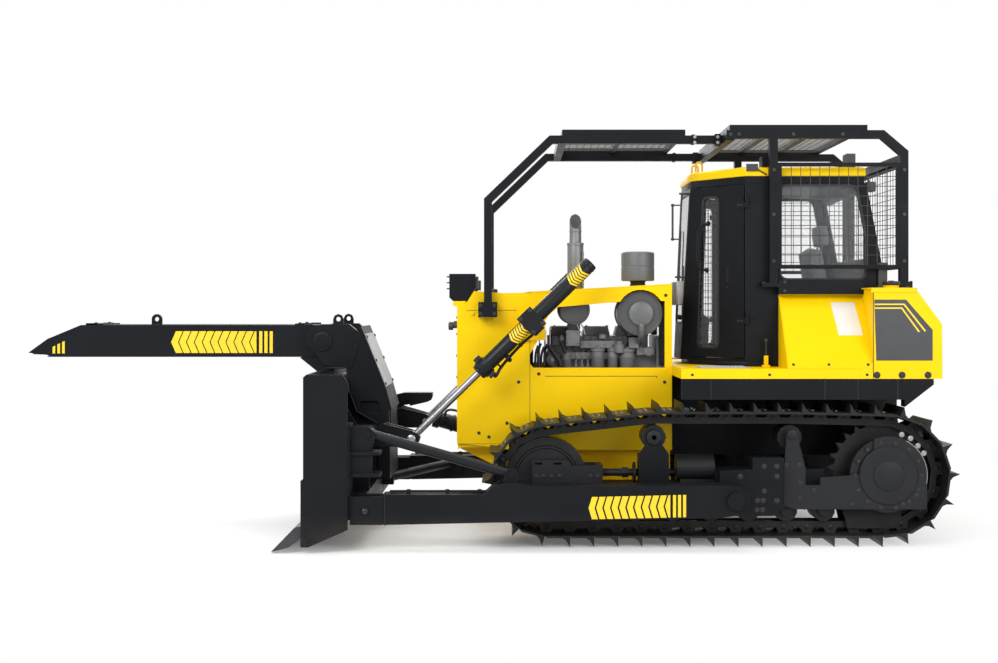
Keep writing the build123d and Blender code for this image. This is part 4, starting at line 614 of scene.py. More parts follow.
box(330, 1070, -290, -230, 1442, 1500)
for x, radius, top in ((384, 42, 1490), (478, 42, 1510), (748, 55, 1548), (875, 40, 1550), (999, 60, 1542)):
    canister(x, -320, 1300, top, radius)
box(480, 700, -360, -230, 1222, 1380)
for x in INJECTORS:
    lathe((x, -300, 1380), UP, [(0, 18), (22, 18), (24, 11), (60, 11), (60, 0)], 12)
bolts(every((500, 560, 620, 680), -360, 1300), LEFT, 9)
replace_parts(piece("filter_row", ENGINE_GREY, bevel=3), "engine_filters")

for i, x in enumerate(INJECTORS):
    tube([(x, -300, 1436), (x, -308, 1480), (x + 16, -290, 1530), (x + 60 + i * 30, -200, 1560),
          (x + 80 + i * 80, -150, 1650)], 3.4, 8, smooth=2)
tube([(340, -330, 1565), (340, -330, 1715), (356, -330, 1722), (500, -330, 1722)], 6, 8, smooth=2)
tube([(300, -330, 1400), (300, -330, 1690)], 9, 8)
tube([(250, -300, 1300), (252, -300, 1640)], 6, 8)
tube([(600, -300, 1760), (630, -300, 1700), (640, -300, 1650)], 5, 8, smooth=2)
tube([(570, -310, 1745), (585, -310, 1700), (620, -310, 1655)], 5, 8, smooth=2)
piece("injector_lines", ZINC)
for x, y, top in ((212, -420, 1560), (236, -400, 1580), (262, -380, 1550), (290, -360, 1570)):
    tube([(x, y, 1385), (x + 4, y, top - 60), (x + 26, -400, top)], 11, 10, smooth=2)
tube([(330, -380, 1560), (372, -390, 1500), (420, -400, 1440), (430, -400, 1385)], 22, 14, smooth=3)
tube([(430, -360, 1600), (455, -360, 1560), (470, -360, 1490)], 16, 12, smooth=2)
piece("coolant_hoses", RUBBER)

box(476, 590, -400, -300, 1560, 1690)
box(486, 580, -404, -396, 1575, 1675)
bolts(every((492, 574), -404, (1582, 1668)), LEFT, 7)
box(600, 900, -330, -290, 1540, 1600)
bolts(every(range(622, 871, 62), -330, 1572), LEFT, 11)
lathe((790, -330, 1620), UP, [(0, 0), (0, 34), (30, 34), (38, 26), (38, 0)], 24)
lathe((930, -350, 1500), UP, [(0, 0), (0, 46), (70, 46), (76, 30), (96, 30), (96, 0)], 24)
box(1010, 1090, -380, -300, 1540, 1630)
box(1080, 1230, -330, -240, 1480, 1545)
lathe((1180, -330, 1510), LEFT, [(0, 0), (0, 40), (26, 40), (30, 30), (30, 0)], 24)
lathe((360, -300, 1440), LEFT, [(0, 0), (0, 52), (60, 52), (70, 40), (76, 18), (90, 18), (90, 0)], 28)
lathe((442, -330, 1590), UP, [(0, 0), (0, 22), (40, 22), (44, 14), (56, 14), (56, 0)], 20)
piece("engine_fittings", ENGINE_GREY, bevel=2)
bolts(every((390, 570, 670, 850, 950, 1130), 0, 1720), UP, 11)
for _ in sides():
    bolts(every(range(360, 1131, 110), 230, (960, 1180)), OUT, 10)
piece("engine_bolts", DARK_BOLT)

# the fan's six twisted blades on their hub, and the belt round its pulleys
lathe((204, 0, 1290), AHEAD, [(0, 0), (0, 60), (30, 60), (34, 30), (34, 0)], 24)
for t in turns(6, math.radians(10)):
    u, v = math.cos(t), math.sin(t)
    skin([[at(186 + dx, u * r + k * v, 1290 + v * r - k * u)
           for dx, k in ((14, -62), (11, -62), (-14, 62), (-11, 62))]
          for r in (50, 205, 360)])
piece("fan", RUBBER, smooth=0)
belt = [(radius * math.cos(math.radians(a)), z + radius * math.sin(math.radians(a)))
        for radius, z, first in ((122, 1150, 180), (66, 1290, 0)) for a in range(first, first + 181, 15)]
skin([[at(228 + dx, y * k, 1200 + (z - 1200) * k) for dx, k in ((0, 1), (22, 1), (22, 1.05), (0, 1.05))]
      for y, z in belt], loop=True)
piece("fan_belt", RUBBER, smooth=0)

# ---------------------------------------------------------------- lift cylinders


def cross_box(a0, a1, c0, c1, w0, w1):
    """A box set square to the lift cylinder: along, across and outboard limits."""
    skin([[at(*lift_at(a, c, w)) for a, c in rect(a0, a1, c0, c1)] for w in (w0, w1)])


for side in sides():
    body = f"lift_barrel_{side}"
    lathe(lift_at(-680), LIFT_AXIS,
          [(0, 0), (0, 50), (6, 58), (14, BARREL_R), (1170, BARREL_R), (1170, 0)], 40)
    band(lift_at(-646), LIFT_AXIS, BARREL_R, BARREL_R + 3, 10, 40)
    lathe(lift_at(488), LIFT_AXIS,
          [(0, 60), (0, 70), (6, 76), (84, 76), (92, 70), (92, 66), (112, 66), (112, 31), (100, 31)], 40)
    for limits in ((-75, 75, -96, 96, -92, 92), (500, 560, 60, 104, -34, 34), (500, 560, -104, -60, -34, 34),
                   (330, 362, 58, 84, -9, 9), (-40, 60, 96, 112, -50, 50)):
        cross_box(*limits)
    lathe((LIFT_TOP[0], LIFT_Y, LIFT_TOP[1]), IN, [(90, 38), (245, 38), (245, 0)], 28)
    lathe(lift_at(346, 100, -8), OUT, [(0, 9), (0, 20), (16, 20), (16, 9), (0, 9)], 20)
    barrel = piece(f"cylinder_barrel_{side}", BARREL, body, bevel=3)
    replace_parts(barrel, f"lift_barrel_{side}")
    bolts([lift_at(a, c, 92) for a in (-52, 52) for c in (-74, 74)], OUT, 13)
    bolts([lift_at(600, 47 * math.cos(t), 47 * math.sin(t)) for t in turns(8, math.pi / 8)], LIFT_AXIS, 8)
    bolts([lift_at(a, c, 34) for a in (515, 545) for c in (-82, 82)], OUT, 10)
    piece(f"cylinder_bolts_{side}", DARK_BOLT, body)
    tube([lift_at(530, 104, -20), lift_at(520, 122, -20), lift_at(440, 92, -50), lift_at(200, 76, -60),
          lift_at(70, 86, -66)], 13, 12, smooth=3)
    for a in (192, 322, 432):
        band(lift_at(a, 79, -58), LIFT_AXIS, 12, 17, 16, 16)
    piece(f"cylinder_pipe_{side}", BARREL, body)
    eye = lift_at(LIFT_LONG, 0, 36)
    lathe(eye, OUT, [(0, 24), (0, 34), (46, 34), (50, 28), (50, 0)], 28)
    lathe(eye, IN, [(0, 24), (70, 24), (122, 24), (122, 0)], 28)
    piece(f"rod_pin_{side}", ZINC, "blade_group")

# ---------------------------------------------------------------- undercarriage

TRACK_Y = 940.0
TRACK_FACE = 1072.0         # the track frame's outer face
TRUNNION_Y = 1235.0         # the push arms' trunnion's outer face
SHOES = 42
IDLER = (290.0, 517.0, 385.0)
SPROCKET = (2987.0, 557.0, 425.0)
LOOP = (IDLER, SPROCKET, (2228.0, 850.0, 150.0), (1145.0, 850.0, 150.0))


def track_pins():
    """The chain's pins, evenly spaced round idler, sprocket and carrier rollers."""
    runs = []
    for (x, z, r), (nx, nz, nr) in zip(LOOP, LOOP[1:] + LOOP[:1]):
        span = math.hypot(nx - x, nz - z)
        turn = math.atan2(nz - z, nx - x) + math.asin((r - nr) / span)
        runs.append((math.sqrt(span ** 2 - (r - nr) ** 2), turn,
                     x + r * math.sin(turn), z - r * math.cos(turn)))
    segments = []
    for i, (length, turn, x0, z0) in enumerate(runs):
        x, z, r = LOOP[(i + 1) % 4]
        bend = (runs[(i + 1) % 4][1] - turn) % (2 * math.pi)
        segments += [(length, 0.0, x0, z0, turn), (bend * r, r, x, z, turn)]
    pitch = sum(s[0] for s in segments) / SHOES
    pins = []
    for i in range(SHOES):
        left = i * pitch
        for length, radius, x, z, turn in segments:
            if left < length:
                break
            left -= length
        if radius:
            angle = turn + left / radius
            pins.append((x + radius * math.sin(angle), z - radius * math.cos(angle)))
        else:
            pins.append((x + left * math.cos(turn), z + left * math.sin(turn)))
    return pins


def shoes():
    """For each shoe, its pin's x and z, the outward direction, and a function to a point of its side view."""
    pins = track_pins()
    for (x, z), (nx, nz) in zip(pins, pins[1:] + pins[:1]):
        turn = math.atan2(nz - z, nx - x)
        c, s = math.cos(turn), math.sin(turn)
        yield x, z, (s, 0, -c), lambda share, along, out: (x + (nx - x) * share + c * along + s * out,
                                                           z + (nz - z) * share + s * along - c * out)


for side in sides():
    for x, z, _, spot in shoes():
        for inner in (26, 84):
            for way in (-1, 1):
                lathe((x, TRACK_Y + way * inner, z), (0, way, 0), [(0, 20), (5, 20), (8, 16), (8, 0)], 12)
        for y in (TRACK_Y - 250, TRACK_Y + 250):
            prism([spot(0.75, along, out) for along, out in ((-20, 63), (20, 63), (20, 88))], y - 4, y + 4)
    piece(f"track_pins_{side}", TRACK)
    for _, _, outward, spot in shoes():
        for bx, bz in (spot(0.3, 0, 62), spot(0.56, 0, 62)):
            for y in (TRACK_Y - 62, TRACK_Y + 62):
                bolt((bx, y, bz), outward, 13, 10)
    piece(f"shoe_bolts_{side}", ZINC)

    outer = half_width("hub_covers")
    # four bolts on the hub cover's upper rear in bright zinc, where its other bolts are dark: painted glints
    bolts(on_y(outer, (3091.173, 880.702), (3160.620, 850.713), (3219.019, 792.315), (3265.580, 733.916)),
          OUT, 15)
    piece(f"cover_bolt_glints_{side}", ZINC)
    bolts(on_y(outer, (2290, 500), (2290, 380), (2400, 440), (2860, 470), (2285, 640), (2180, 640),
               (2700, 330), (3100, 330), (3210, 400)), OUT)
    bolt_circle(2987, outer, 557, 262, 14, 11)
    bolts(every((210, 270, 330, 392, 640, 700), TRACK_FACE, 540), OUT)
    bolts(every(range(700, 1501, 160), TRACK_FACE, 430), OUT, 13)
    bolts(on_y(TRACK_FACE, (2050, 560), (2200, 520)), OUT, 13)
    rollers = range(700, 2501, 300)
    bolts([(x + dx, TRACK_FACE, 330) for x in rollers for dx in (-34, 34)], OUT, 11)
    bolt((1145, TRACK_FACE, 850), OUT, 24)
    bolts(on_y(TRUNNION_Y, (1990, 446), (1938, 372), (1982, 372), (2090, 372), (1932, 300), (1976, 300),
               (1804, 560), (2090, 560), (1990, 640), (2090, 640)), OUT, 15)
    piece(f"frame_bolts_{side}", DARK_BOLT)
    lathe((2987, outer, 557), OUT, [(0, 210), (0, 226), (6, 232), (12, 226), (12, 0)], 48)
    lathe((2987, outer, 557), OUT, [(10, 120), (20, 120), (24, 112), (24, 0)], 40)
    lathe((1145, TRACK_FACE, 850), OUT, [(0, 60), (14, 60), (18, 54), (18, 0)], 32)
    lathe((2228, outer, 880), OUT, [(0, 40), (12, 40), (16, 34), (16, 0)], 32)
    lathe((290, 998, 517), OUT, [(0, 250), (2, 262), (12, 262), (14, 250), (14, 240), (2, 236), (2, 100),
                                 (20, 92), (26, 84), (26, 0)], 48)
    piece(f"hub_discs_{side}", CASTING, bevel=2)
    for i in range(9):
        band((1354 + i * 32.75, TRACK_Y, 597), BACK, 100, 108, 10, 40)
    tube([(740, TRACK_Y, 557), (1334, TRACK_Y, 557)], 30, 24)
    band((900, TRACK_Y, 557), BACK, 30, 44, 50, 6)
    band((990, TRACK_Y, 557), BACK, 30, 84, 18, 32)
    piece(f"recoil_details_{side}", CASTING, bevel=1.5)
    for x in rollers:
        lathe((x, TRACK_FACE, 274), OUT, [(0, 46), (0, 50), (10, 50), (14, 40), (14, 0)], 28)
    piece(f"roller_caps_{side}", CASTING)

# ---------------------------------------------------------------- blade, mast and arms

PLATE_A, PLATE_B = Vector((-1243, 0, 1671)), Vector((-1052, 0, 1194))       # the mast's sloping back
PLATE_N = Vector((PLATE_B.z - PLATE_A.z, 0, PLATE_A.x - PLATE_B.x)).normalized() * -7
MAST_Y = 390
HINGE_X, HINGE_Z = -1590, 1595

p, q = PLATE_A.lerp(PLATE_B, 0.03), PLATE_A.lerp(PLATE_B, 0.97)
prism([(v.x, v.z) for v in (p, q, q + PLATE_N, p + PLATE_N)], -345, 345)
piece("mast_rear_plate", LIGHT_GREY, "blade_group", bevel=1.5)
for share in (0.08, 0.5, 0.92):
    m = PLATE_A.lerp(PLATE_B, share) + PLATE_N
    bolts(every(m.x, (-325, 325), m.z), PLATE_N, 13)
for i in range(14):
    y = -1340 + i * 2680 / 13
    bolt((-1632, y, 178), (-1, 0, 0.15), 17)
    bolt((-1597, y, 178), BACK)
for _ in sides():
    for place in ((-1113, 1440, 321), (-1095, 1390, 905), (10, 1390, 590)):
        lathe(place, OUT, [(0, 22), (22, 22), (26, 17), (26, 0)], 24)
    bolt_circle(HINGE_X, MAST_Y + 2, HINGE_Z, 62, 4, 10, OUT, math.pi / 4)
piece("front_bolts", DARK_BOLT, "blade_group")
for _ in sides():
    lathe((HINGE_X, MAST_Y, HINGE_Z), OUT, [(0, 84), (10, 84), (14, 78), (14, 50)], 36)
    prism([(-1395, 1371), (-1340, 1371), (-1260, 1640), (-1276, 1646)], MAST_Y, MAST_Y + 8)
    for z in (586, 756):
        box(-1226, -1060, 1432, 1442, z, z + 8)
    prism([(-180, 450), (-60, 536), (-60, 560), (-192, 462)], 1300, 1340)
    for y in (300, 900, 1420):
        prism([(-1500, 900), (-1240, 900), (-1240, 940), (-1400, 1225), (-1500, 1225)], y - 8, y + 8)
piece("mast_trim", BLACK, "blade_group", bevel=2)
for _ in sides():
    for path in ([(-960, 1442, 212), (-960, 1442, 448)], [(-1240, 1440, 430), (-1240, 1440, 985)],
                 [(-1126, 392, 905), (-1300, 392, 1005), (-1382, 392, 1232), (-1382, 392, 1368)],
                 [(-1560, 392, 1371), (-1400, 392, 1371)]):
        tube(path, 6, 8)
piece("weld_beads", CASTING, "blade_group")

# the tilt cylinder on the right: its rod guard closed at both sides, its gland, clamps and port block
TILT_Y = 1340.0
TILT_U = Vector((1105, 0, -315)).normalized()
TILT_START = Vector((-1095, TILT_Y, 905)) + TILT_U * 365
for y in (TILT_Y - 68, TILT_Y + 60):
    prism([(-1021, 1037), (-759, 1037), (-773, 989), (-807, 971), (-975, 931)], y, y + 8)
lathe(TILT_START, TILT_U, [(0, 40), (0, 84), (6, 90), (60, 90), (66, 84), (66, 76)], 36)
for along in (180, 480, 620):
    band(TILT_START + TILT_U * along, TILT_U, 72, 84, 26, 36)
box(-655, -600, 1220, 1270, 780, 830)
piece("tilt_fittings", BARREL, "blade_group", bevel=2)
tube([(-630, 1245, 830), (-625, 1230, 880), (-560, 1210, 900), (-380, 1190, 840), (-120, 1180, 760),
      (40, 1180, 690)], 12, 12, smooth=3)
tube([(-200, 1270, 690), (-190, 1230, 740), (-120, 1200, 740), (40, 1190, 670)], 12, 12, smooth=3)
piece("tilt_hoses", RUBBER, "blade_group")
for _ in sides():
    tube([(-150, 1345, 460), (-700, 1345, 460), (-930, 1345, 460)], 11, 10)
    for x in (-800, -500, -250):
        box(x, x + 30, 1328, 1362, 445, 476)
piece("arm_pipes", BARREL, "blade_group", bevel=1)

# ---------------------------------------------------------------- boom, collars and screen frames

for _ in sides():
    for x in (-3640, -1780):
        box(x, x + 90, 236, 240, 1734, 1750)
    bolts(every((-3570, -1810), 190, 1746), UP)
piece("boom_bolts", DARK_BOLT, "boom")
for _ in sides():
    for (x0, z0), (x1, z1) in (((-3950, 1465), (-1600, 1465)), ((-3660, 1731), (-1600, 1731)),
                               ((-3951, 1612), (-3664, 1731))):
        tube([(x0, 300.5, z0), (x1, 300.5, z1)], 4, 6)
    tube([(-3139, 16, 1738), (-3051, 16, 1738)], 5, 6)
piece("boom_welds", BLACK, "boom")
prism([(-4100, 1492), (-3958, 1500), (-3958, 1478), (-4086, 1482)], -252, 252)
piece("boom_tip_wear", EDGE, "boom", bevel=1)
# the collar that closes each arm's front end against the fork, and a painted highlight: a bright arc on each
# hub cover's rim
for _ in sides():
    box(-978, -950, 1242, 1438, 216, 444)
piece("arm_collars", BLACK, "blade_group", bevel=2)
for _ in sides():
    arc = [math.radians(-12 + 5 * k) for k in range(16)]
    tube([(2987 + 306 * math.cos(t), 1155, 557 + 306 * math.sin(t)) for t in arc], 3.5, 8)
piece("hub_highlight_arcs", ZINC)


def make_screen_frames():
    """The guard's screen frames, taken over whole but for the sloping panel ahead of the roof."""
    bm = Work.mesh
    bm.from_mesh(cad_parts["cage_screens"].data)
    bmesh.ops.remove_doubles(bm, verts=bm.verts, dist=1e-5)
    left = set(bm.verts)
    while left:
        island, front = set(), [left.pop()]
        while front:
            v = front.pop()
            island.add(v)
            front += [w for e in v.link_edges for w in (e.other_vert(v),) if w in left]
            left -= set(front)
        reach = [v.co.x for v in island]
        if 1.85 < min(reach) < 1.88 and max(reach) < 2.1:
            bmesh.ops.delete(bm, geom=list(island), context="VERTS")
    o = piece("screen_frames", BLACK, bevel=2)
    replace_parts(o, "cage_screens")


make_screen_frames()

# ---------------------------------------------------------------- nose and hood

NOSE_X = -442.0             # the nose's front face
HOOD_Y = 560.0              # the hood's and side panels' outer faces

for _ in sides():
    for z in (2037, 2087, 2137):
        box(-530, -502, 412, 540, z, z + 9)
    box(-296, -266, 420, 540, 2040, 2130)
    lathe((NOSE_X - 2, 490, 1728), AHEAD,
          [(0, 0), (0, 18), (30, 18), (34, 34), (66, 34), (72, 26), (72, 0)], 20)
piece("nose_fittings", PLASTIC, bevel=1.5)
for _ in sides():
    for y in (442, 512):
        lathe((NOSE_X - 41, y, 2066), AHEAD, [(0, 0), (0, 30), (8, 30), (16, 22), (19, 0)], 28)
piece("head_lenses", LENS)
# thin dark strips along the hood's panel seams: painted shade of the grooves between the panels
for _ in sides():
    for x0, x1, z0, z1 in ((-367, 150, 1858, 1862), (292, 1227, 1308, 1313), (1222, 1228, 1296, 1312),
                           (164, 168, 800, 1900), (-438, 164, 744, 747)):
        box(x0, x1, HOOD_Y, HOOD_Y + 0.8, z0, z1)
piece("panel_seam_shade", SEAL_AND_SEAM_SHADE, smooth=0)
for _ in sides():
    bolts(on_y(HOOD_Y, (-259, 836), (-175, 803), (-25, 919), (72, 1262), (1290, 1262), (1290, 800),
               (240, 800), (1300, 1985), (240, 1330)), OUT, 10)
    bolts(every(NOSE_X, 500, (1120, 1300, 1480, 1660, 1800)), AHEAD, 11)
piece("hood_bolts", DARK_BOLT)
for _ in sides():
    bolt((-308, HOOD_Y, 1832), OUT)
    box(120, 700, 540, 562, 2004, 2010)
    bolts(every((-200, -158), HOOD_Y, 1780), OUT, 12)
    prism([(140, 2004), (1352, 2072), (1352, 2082), (140, 2016)], 548, 562)
piece("hood_lip", YELLOW, bevel=2)
lathe((-160, 0, 2000), UP, [(0, 70), (12, 70), (16, 52), (40, 52), (46, 46), (46, 0)], 32)
piece("radiator_cap", DARK_BOLT)
for _ in sides():
    bolts(every((-244, -128), 683, (1832, 1900)), OUT, 11)
piece("sweep_bolts", DARK_BOLT)

# ---------------------------------------------------------------- the cab's shape

CORNER_X, CORNER_Y = 1925.0, 780.0      # where a door's facet meets the side wall
FACET_X, FACET_Y = 0.6384, 0.7697       # the facet's run, forward and inward
SCREEN_FOOT, SCREEN_HEAD = 1466.0, 1539.0
FLOOR, CEILING = 1440.0, 2900.0
WALL = 40.0
PANE_DEEP = (14, 20)                    # a side or rear pane's faces, behind the wall's face
PANE_SHALLOW = (4, 10)                  # the windscreen's and the door panes' faces
PANE_FOOT, PANE_HEAD = 1556, 2800       # a door pane's lower and upper edges
FREE_FOOT, FREE_HEAD = 505, 446         # how far along the facet its free edge stands at either end


def screen_x(z):
    """The leaning windscreen's outer face at this height."""
    return SCREEN_FOOT + (SCREEN_HEAD - SCREEN_FOOT) * (z - FLOOR) / (CEILING - FLOOR)


def facet_end(z):
    """How far along the facet the windscreen's plane cuts it."""
    return (CORNER_X - screen_x(z)) / FACET_X


def screen_half(z):
    return CORNER_Y - FACET_Y * facet_end(z)


def rear_x(z):
    """The rear wall's outer face, which leans forward above z 2250."""
    return 3040 - 124 * max(0.0, z - 2250) / 650


def rounded(points, radius, steps=5):
    """A closed outline with its corners rounded."""
    result = []
    for i, point in enumerate(points):
        p, a, b = Vector(point), Vector(points[i - 1]), Vector(points[(i + 1) % len(points)])
        u, v = (a - p).normalized() * radius, (b - p).normalized() * radius
        for t in (k / steps for k in range(steps + 1)):
            q = (p + u) * (1 - t) ** 2 + p * 2 * t * (1 - t) + (p + v) * t ** 2
            result.append((q.x, q.y))
    return result


def plate(place, outline, holes, t0, t1):
    """A flat plate with holes, where place(u, v, t) is the point at u, v and depth t."""
    bm = Work.mesh
    flat = bmesh.new()
    loops, edges = [], []
    for points in (outline, *holes):
        loop = [flat.verts.new((p[0], p[1], 0)) for p in points]
        edges += [flat.edges.new((loop[i - 1], loop[i])) for i in range(len(loop))]
        loops.append(loop)
    bmesh.ops.triangle_fill(flat, use_beauty=True, edges=edges, normal=UP)
    flat.verts.index_update()
    near, far = [[bm.verts.new(at(*place(v.co.x, v.co.y, t))) for v in flat.verts] for t in (t0, t1)]
    made = [bm.faces.new([level[v.index] for v in f.verts]) for f in flat.faces for level in (near, far)]
    for loop in loops:
        for i in range(len(loop)):
            a, b = loop[i - 1].index, loop[i].index
            made.append(bm.faces.new([near[a], near[b], far[b], far[a]]))
    bmesh.ops.recalc_face_normals(bm, faces=made)
    flat.free()


def on_facet(u, z, t):
    return (CORNER_X - FACET_X * u + FACET_Y * t, CORNER_Y - FACET_Y * u - FACET_X * t, z)


def on_side(x, z, t):
    return (x, CORNER_Y - t, z)


def on_screen(y, z, t):
    return (screen_x(z) + t, y, z)


def on_rear(y, z, t):
    return (rear_x(z) - t, y, z)


def screen_outline(low, high, inset, radius):
    a, b = screen_half(low) - inset, screen_half(high) - inset
    return rounded([(-a, low), (a, low), (b, high), (-b, high)], radius)


def door_outline(hinge, free_low, free_high, low, high, radius):
    """A door's pane or seal: upright at the hinge side, leaning at the free side."""
    return rounded([(hinge, low), (free_low, low), (free_high, high), (hinge, high)], radius)


def plan(*levels):
    """A slab with the cab's six-sided plan, where levels are pairs of height and growth."""
    bm = Work.mesh
    rings = []
    for z, grow in levels:
        front, half = screen_x(CEILING) + 4 - grow, screen_half(CEILING) + grow * 0.4
        side_y, rear = CORNER_Y + grow, 2903 + grow
        rings.append([bm.verts.new(at(x, y, z)) for x, y in (
            (front, -half), (front, half), (CORNER_X, side_y), (rear, side_y), (rear, -side_y),
            (CORNER_X, -side_y))])
    made = [bm.faces.new(rings[0]), bm.faces.new(rings[-1])]
    for low, high in zip(rings, rings[1:]):
        made += [bm.faces.new([low[i - 1], low[i], high[i], high[i - 1]]) for i in range(6)]
    bmesh.ops.recalc_face_normals(bm, faces=made)


SIDE_PANE = rounded([(2215, 2124), (2900, 2124), (2900, 2500), (2828, 2876), (2215, 2876)], 60)
SIDE_SEAL = rounded([(2199, 2108), (2916, 2108), (2916, 2502), (2842, 2892), (2199, 2892)], 70)
REAR_PANE = rect(-680, 680, 2290, 2840)
SCREEN_PANE = screen_outline(1760, 2850, 34, 40)
DOOR_HINGES = (1750, 2700)
# for each door: pane, seal, the pane's first mesh wire, and the latch's corner; the right one is mostly glass
DOORS = {
    "left": (door_outline(287, FREE_FOOT, FREE_HEAD, PANE_FOOT, PANE_HEAD, 55),
             door_outline(271, 522, 461, 1540, 2816, 64), 300, 160),
    "right": (door_outline(44, FREE_FOOT, FREE_HEAD, PANE_FOOT, PANE_HEAD, 55),
              door_outline(28, 522, 461, 1540, 2816, 64), 60, 528),
}

# ---------------------------------------------------------------- the cab's shell

for side in sides():
    wall = [(CORNER_X, FLOOR), (2871, FLOOR), (2871, 2031), (3040, 2031), (3040, 2250), (2916, CEILING),
            (CORNER_X, CEILING)]
    plate(on_side, wall, [SIDE_PANE], 0, WALL)
    front = [(0, FLOOR), (facet_end(FLOOR), FLOOR), (facet_end(CEILING), CEILING), (0, CEILING)]
    plate(on_facet, front, [rounded([(6, 1462), (594, 1462), (529, 2896), (6, 2896)], 24)], 0, WALL)
    for z in DOOR_HINGES:
        box(1938, 2004, 780, 792, z + 48, z + 96)
        lathe((1937, 803, z + 48), UP, [(0, 0), (0, 13), (48, 13), (48, 0)], 16)
    box(2188, 2196, 780, 786, 1446, 2890)
    o = piece(f"cab_wall_{side}", BLACK, bevel=3)
    if side == "left":
        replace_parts(o, "cab_sides")
    plate(on_side, SIDE_SEAL, [SIDE_PANE], -4, 0)
    piece(f"side_window_seal_{side}", SEAL_AND_SEAM_SHADE, bevel=1)
lower, upper = screen_half(FLOOR), screen_half(CEILING)
plate(on_screen, [(-lower, FLOOR), (lower, FLOOR), (upper, CEILING), (-upper, CEILING)],
      [SCREEN_PANE], 0, WALL)
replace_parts(piece("cab_screen_wall", BLACK, bevel=3), "cab_front")
plan((1400, 0), (1436, 0), (FLOOR, -4))
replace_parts(piece("cab_floor_pan", BLACK, bevel=2), "cab_floor")
plan((CEILING, -3), (2962, -3))
piece("cab_header", BLACK, bevel=3)
plan((2958, 0), (2964, 6), (3008, 6), (3026, -4), (3034, -26))
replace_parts(piece("cab_roof_cap", YELLOW, bevel=4), "cab_roof")
for _ in sides():
    plate(on_side, SIDE_PANE, [], *PANE_DEEP)
plate(on_rear, rounded(REAR_PANE, 50), [], *PANE_DEEP)
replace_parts(piece("cab_panes", GLASS), "cab_glass")
plate(on_screen, SCREEN_PANE, [], *PANE_SHALLOW)
piece("windscreen", SCREEN_GLASS)
plate(on_screen, screen_outline(1744, 2866, 18, 52), [SCREEN_PANE], -4, 0)
piece("screen_seal", SEAL_AND_SEAM_SHADE, bevel=1)

# a grab handle and a long arm beside the windscreen on the left, and the wiper
y = -236.0
tube([(1397, y, 2470), (1397, y, 2762)], 9, 14)
for z in (2470, 2762):
    lathe((1397, y, z - 14), UP, [(0, 0), (4, 12), (14, 16), (24, 12), (28, 0)], 16)
    tube([(1397, y, z), (screen_x(z) - 58, y, z)], 6, 8)
tube([(1477, y, 2868), (1458, y, 2500), (1442, y, 2135)], 8, 10)
for z, x in ((2861, 1477), (2145, 1442)):
    tube([(x - 24, y, z), (screen_x(z) + 10, y, z)], 9, 10)
lathe((screen_x(1800) + 4, 0, 1800), AHEAD, [(0, 0), (0, 22), (20, 22), (24, 13), (24, 0)], 20)
tube([(screen_x(1800) - 18, 0, 1800), (screen_x(2250) - 18, 70, 2250)], 6, 8)
tube([(screen_x(1980) - 10, 40, 1980), (screen_x(2560) - 8, 110, 2560)], 5, 8)
piece("screen_rails", PLASTIC)

# ---------------------------------------------------------------- doors, cab outside and deck

GUARD_Y = 866               # the cab guard's outer face
SKIRT_Y = 1150              # the skirts' and tanks' outer face


def door_point(u, out, z):
    return on_facet(u, z, -out)


def free_edge(z):
    """The leaning edge of a door's pane at this height."""
    return FREE_FOOT - (z - PANE_FOOT) / (PANE_HEAD - PANE_FOOT) * (FREE_FOOT - FREE_HEAD)


def make_door(side):
    pane, seal, first_wire, latch = DOORS[side]
    out = (-FACET_Y, FACET_X, 0)
    body = f"door_{side}"
    plate(on_facet, rounded([(12, 1470), (586, 1470), (521, 2889), (12, 2889)], 22), [pane], -10, 30)
    for z in DOOR_HINGES:
        plate(on_facet, rect(0, 80, z, z + 45), [], -17, -10)
        lathe((1937, 803, z), UP, [(0, 0), (0, 13), (45, 13), (45, 0)], 16)
        plate(on_facet, rect(-16, 4, z, z + 45), [], -17, -6)
    o = piece(f"door_leaf_{side}", BLACK, body, bevel=3)
    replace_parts(o, f"door_{side}")
    plate(on_facet, pane, [], *PANE_SHALLOW)
    o = piece(f"door_glass_{side}", GLASS, body)
    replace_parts(o, f"door_pane_{side}")
    plate(on_facet, seal, [pane], -14, -10)
    piece(f"door_seal_{side}", SEAL_AND_SEAM_SHADE, body, bevel=1)
    if side == "left":
        plate(on_facet, rounded(rect(26, 258, 1600, 2780), 20), [], -14, -10)
    plate(on_facet, rounded(rect(latch, latch + 38, 2082, 2224), 12), [], -17, -10)
    piece(f"door_panel_{side}", BLACK, body, bevel=1.5)
    plate(on_facet, rounded(rect(latch + 8, latch + 30, 2096, 2210), 8), [], -21, -17)
    lathe(door_point(latch + 19, 10, 2052), out, [(0, 0), (0, 13), (8, 13), (12, 9), (12, 0)], 20)
    piece(f"door_latch_{side}", BARREL, body, bevel=1)
    tube([door_point(*p) for p in ((390, 8, 2588), (432, 56, 2572), (446, 62, 2540), (452, 62, 2270),
                                   (462, 58, 2212), (405, 8, 2196))], 11, 12, smooth=1)
    tube([door_point(446, 62, 2540), door_point(452, 62, 2280)], 20, 14)
    for u, z in ((392, 2588), (407, 2196)):
        lathe(door_point(u, 9, z), out, [(0, 0), (0, 22), (6, 22), (9, 13), (9, 0)], 20)
    piece(f"door_grip_{side}", BLACK, body)
    bolts([door_point(u, 16, z + 22) for z in DOOR_HINGES for u in (30, 62)], out, 7)
    piece(f"hinge_bolts_{side}", DARK_BOLT, body)
    for u in range(first_wire, FREE_FOOT + 1, 48):
        top = PANE_FOOT + (FREE_FOOT - u) / (FREE_FOOT - FREE_HEAD) * (PANE_HEAD - PANE_FOOT)
        tube([door_point(u, 12, PANE_FOOT + 4), door_point(u, 12, min(PANE_HEAD - 4, top))], 2.4, 6)
    for z in range(1580, 2757, 56):
        tube([door_point(first_wire - 13, 14, z), door_point(free_edge(z), 14, z)], 2.4, 6)
    piece(f"door_mesh_{side}", WIRE, body)


